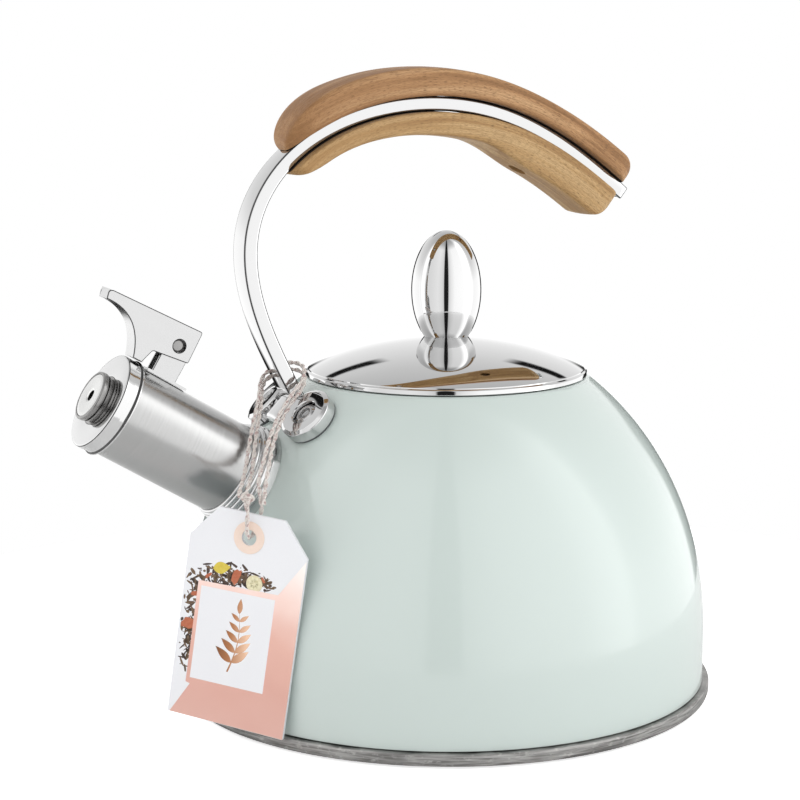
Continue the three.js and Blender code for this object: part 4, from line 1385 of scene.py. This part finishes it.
def make_sprig(place):
    """A plain sprig of leaves in copper foil, in the middle of the white panel."""
    root = Vector((-1.6, -46))
    height = 21
    lean = 0.08
    stem = []
    for side in (1, -1):
        for i in range(13):
            t = (i if side == 1 else 12 - i) / 12
            bend = 1.6 * math.sin(math.pi * t)
            stem.append((root.x + lean * height * t + bend + side * 0.28 * (1.1 - t), root.y + height * t))
    shapes = []
    for i in range(5):
        t = 0.16 + 0.17 * i
        bend = 1.6 * math.sin(math.pi * t)
        start = (root.x + lean * height * t + bend, root.y + height * t)
        size = 7.6 - 0.9 * i
        for angle in (0.72, math.pi - 0.62):
            shapes.append(leaf_outline(start, size, size * 0.36, angle))
    shapes.append(leaf_outline((root.x + lean * height, root.y + height * 0.96), 5.2, 1.9, math.pi / 2))
    flat_print("copper_leaves", shapes, 0.068, 0.076, "copper", place)
    flat_print("copper_stem", [stem], 0.064, 0.07, "copper", place)


# ---- Twine ---------------------------------------------------------------------------------------
# Both turns round the foot of the bar pass these places, a little to either side of them.
TURN_POINTS = [
    (-84.2, -33.4, 88.3), (-80.2, -27.6, 93.6), (-75.7, -21.2, 99.2), (-70.2, -15.6, 105.2),
    (-64.2, -11, 110.4), (-58.9, -8.4, 115), (-56.2, -3, 118.2), (-57, 4, 119),
    (-60.4, 8.2, 117.8), (-65.2, 8, 115.6), (-68.6, 4.4, 113.6), (-72.2, -2.6, 109.4),
    (-76.6, -9.6, 103.4), (-81, -16.6, 96.8), (-85.4, -24.4, 90),
]


def twine_points():
    right = Vector((-math.sin(TAG_AZIMUTH), math.cos(TAG_AZIMUTH), 0))
    place = tag_frame()

    def turn(shift, lift):
        result = []
        for i, point in enumerate(TURN_POINTS):
            along = math.sin(math.pi * i / (len(TURN_POINTS) - 1))
            result.append(Vector(point) + right * shift * (1 - along) + Vector((0, 0, lift * along)))
        return result

    def on_tag(x, y, out):
        return (place @ (Vector((x, y, out)) * MM)) / MM

    through_hole = [
        on_tag(-0.6, 8.6, 2.6), on_tag(-0.4, 4.2, 2.4), on_tag(0, 0.6, 1.2), on_tag(0.2, 0.2, -1.4),
        on_tag(0.9, 4.2, -3.4), on_tag(1.9, 9.2, -2.6),
    ]
    return [
        on_tag(4.4, 12.4, 2.2), *turn(1.3, -1.2), on_tag(-1.8, 12.6, 2.6), *through_hole,
        on_tag(2.4, 13, 0.2), *turn(-1.3, 1.2), on_tag(-4.4, 13.4, 3),
    ]


def smooth_line(points, spacing):
    """A centripetal Catmull-Rom curve through points, as points a spacing apart."""
    points = [Vector(p) for p in points]
    points = [points[0] * 2 - points[1], *points, points[-1] * 2 - points[-2]]
    fine = []
    for a, b, c, d in zip(points, points[1:], points[2:], points[3:]):
        t1 = (b - a).length ** 0.5
        t2 = t1 + (c - b).length ** 0.5
        t3 = t2 + (d - c).length ** 0.5
        for i in range(24):
            t = t1 + (t2 - t1) * i / 24
            ab = a.lerp(b, t / t1)
            bc = b.lerp(c, (t - t1) / (t2 - t1))
            cd = c.lerp(d, (t - t2) / (t3 - t2))
            abc = ab.lerp(bc, t / t2)
            bcd = bc.lerp(cd, (t - t1) / (t3 - t1))
            fine.append(abc.lerp(bcd, (t - t1) / (t2 - t1)))
    fine.append(points[-2])
    fine = np.array(fine)
    along = np.concatenate([[0], np.cumsum(np.linalg.norm(np.diff(fine, axis=0), axis=1))])
    count = int(along[-1] / spacing) + 1
    at = np.linspace(0, along[-1], count)
    return np.stack([np.interp(at, along, fine[:, k]) for k in range(3)], axis=1), along[-1]


def frames_along(line):
    """For each point of a line, two directions across it that don't twist along it."""
    forward = np.gradient(line, axis=0)
    forward /= np.linalg.norm(forward, axis=1)[:, None]
    across = np.cross(forward[0], (0.0, 0.0, 1.0))
    across /= np.linalg.norm(across)
    first, second = [], []
    for direction in forward:
        across = across - direction * across.dot(direction)
        across /= np.linalg.norm(across)
        first.append(across)
        second.append(np.cross(direction, across))
    return np.array(first), np.array(second)


def thread(line, radius, sides=8):
    """A closed tube along a line."""
    first, second = frames_along(line)
    rings = []
    for at, u, v in zip(line, first, second):
        ring = []
        for i in range(sides):
            angle = 2 * math.pi * i / sides
            ring.append(tuple(at + radius * (math.cos(angle) * u + math.sin(angle) * v)))
        rings.append(ring)
    return loft(rings)


def twisted(line, spacing, plies, offset, radius, pitch):
    """Plies twisted round a line."""
    first, second = frames_along(line)
    steps = np.arange(len(line)) * spacing
    parts = []
    for k in range(plies):
        angle = 2 * math.pi * (steps / pitch + k / plies)
        ply = line + offset * (np.cos(angle)[:, None] * first + np.sin(angle)[:, None] * second)
        parts.append(thread(ply, radius))
    return joined(*parts)


def make_twine():
    spacing = 0.45
    line, length = smooth_line(twine_points(), spacing)
    twine = raw("cotton_twine", twisted(line, spacing, plies=2, offset=0.36, radius=0.42, pitch=8.5))
    piece(twine, "twine", "tag", "twine", sharp=80)

    # The knot is a small overhand knot, drawn tight.
    low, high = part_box("twine_knot")
    middle = (low + high) / 2 / MM
    knot_line = []
    for i in range(120):
        t = 2 * math.pi * i / 120
        knot_line.append((
            KNOT_SIZE * (math.sin(t) + 2 * math.sin(2 * t)),
            KNOT_SIZE * (math.cos(t) - 2 * math.cos(2 * t)),
            -KNOT_DEPTH * math.sin(3 * t),
        ))
    spacing = 0.3
    knot_line, _ = smooth_line(knot_line, spacing)
    turn = tag_frame().to_3x3().to_4x4()
    place = Matrix.Translation(middle * MM) @ turn
    shape = twisted(knot_line, spacing, plies=3, offset=0.4, radius=0.44, pitch=7.0)
    knot = raw("overhand_knot", shape, place)
    piece(knot, "twine", "tag", "twine_knot", sharp=80)
    return length


# ---- The whole scene -----------------------------------------------------------------------------
def main():
    make_camera()
    length = make_twine()
    print(f"twine centre line {length:.1f} mm")
    make_studio()
    make_floor()
    make_vessel()
    make_lid()
    make_spout()
    make_cap()
    make_lever()
    make_lever_bracket()
    make_handle()
    make_bracket()

    place = tag_frame()
    make_card("card_front", 0, "tag_front_card", place)
    make_card("card_back", -CARD - GAP, "tag_back_card", place)
    make_print(place)

    for node in ("bottom_pan", "knob_washer", "knob_screw", "whistle_rear_disc"):
        paint(node, "steel_turned")
    for node in ("bracket_nut_near", "bracket_nut_far", "grip_screw_front", "grip_screw_rear"):
        paint(node, "steel_satin")
    paint("heat_disc", "aluminium")
    paint("torsion_spring", "spring")


main()
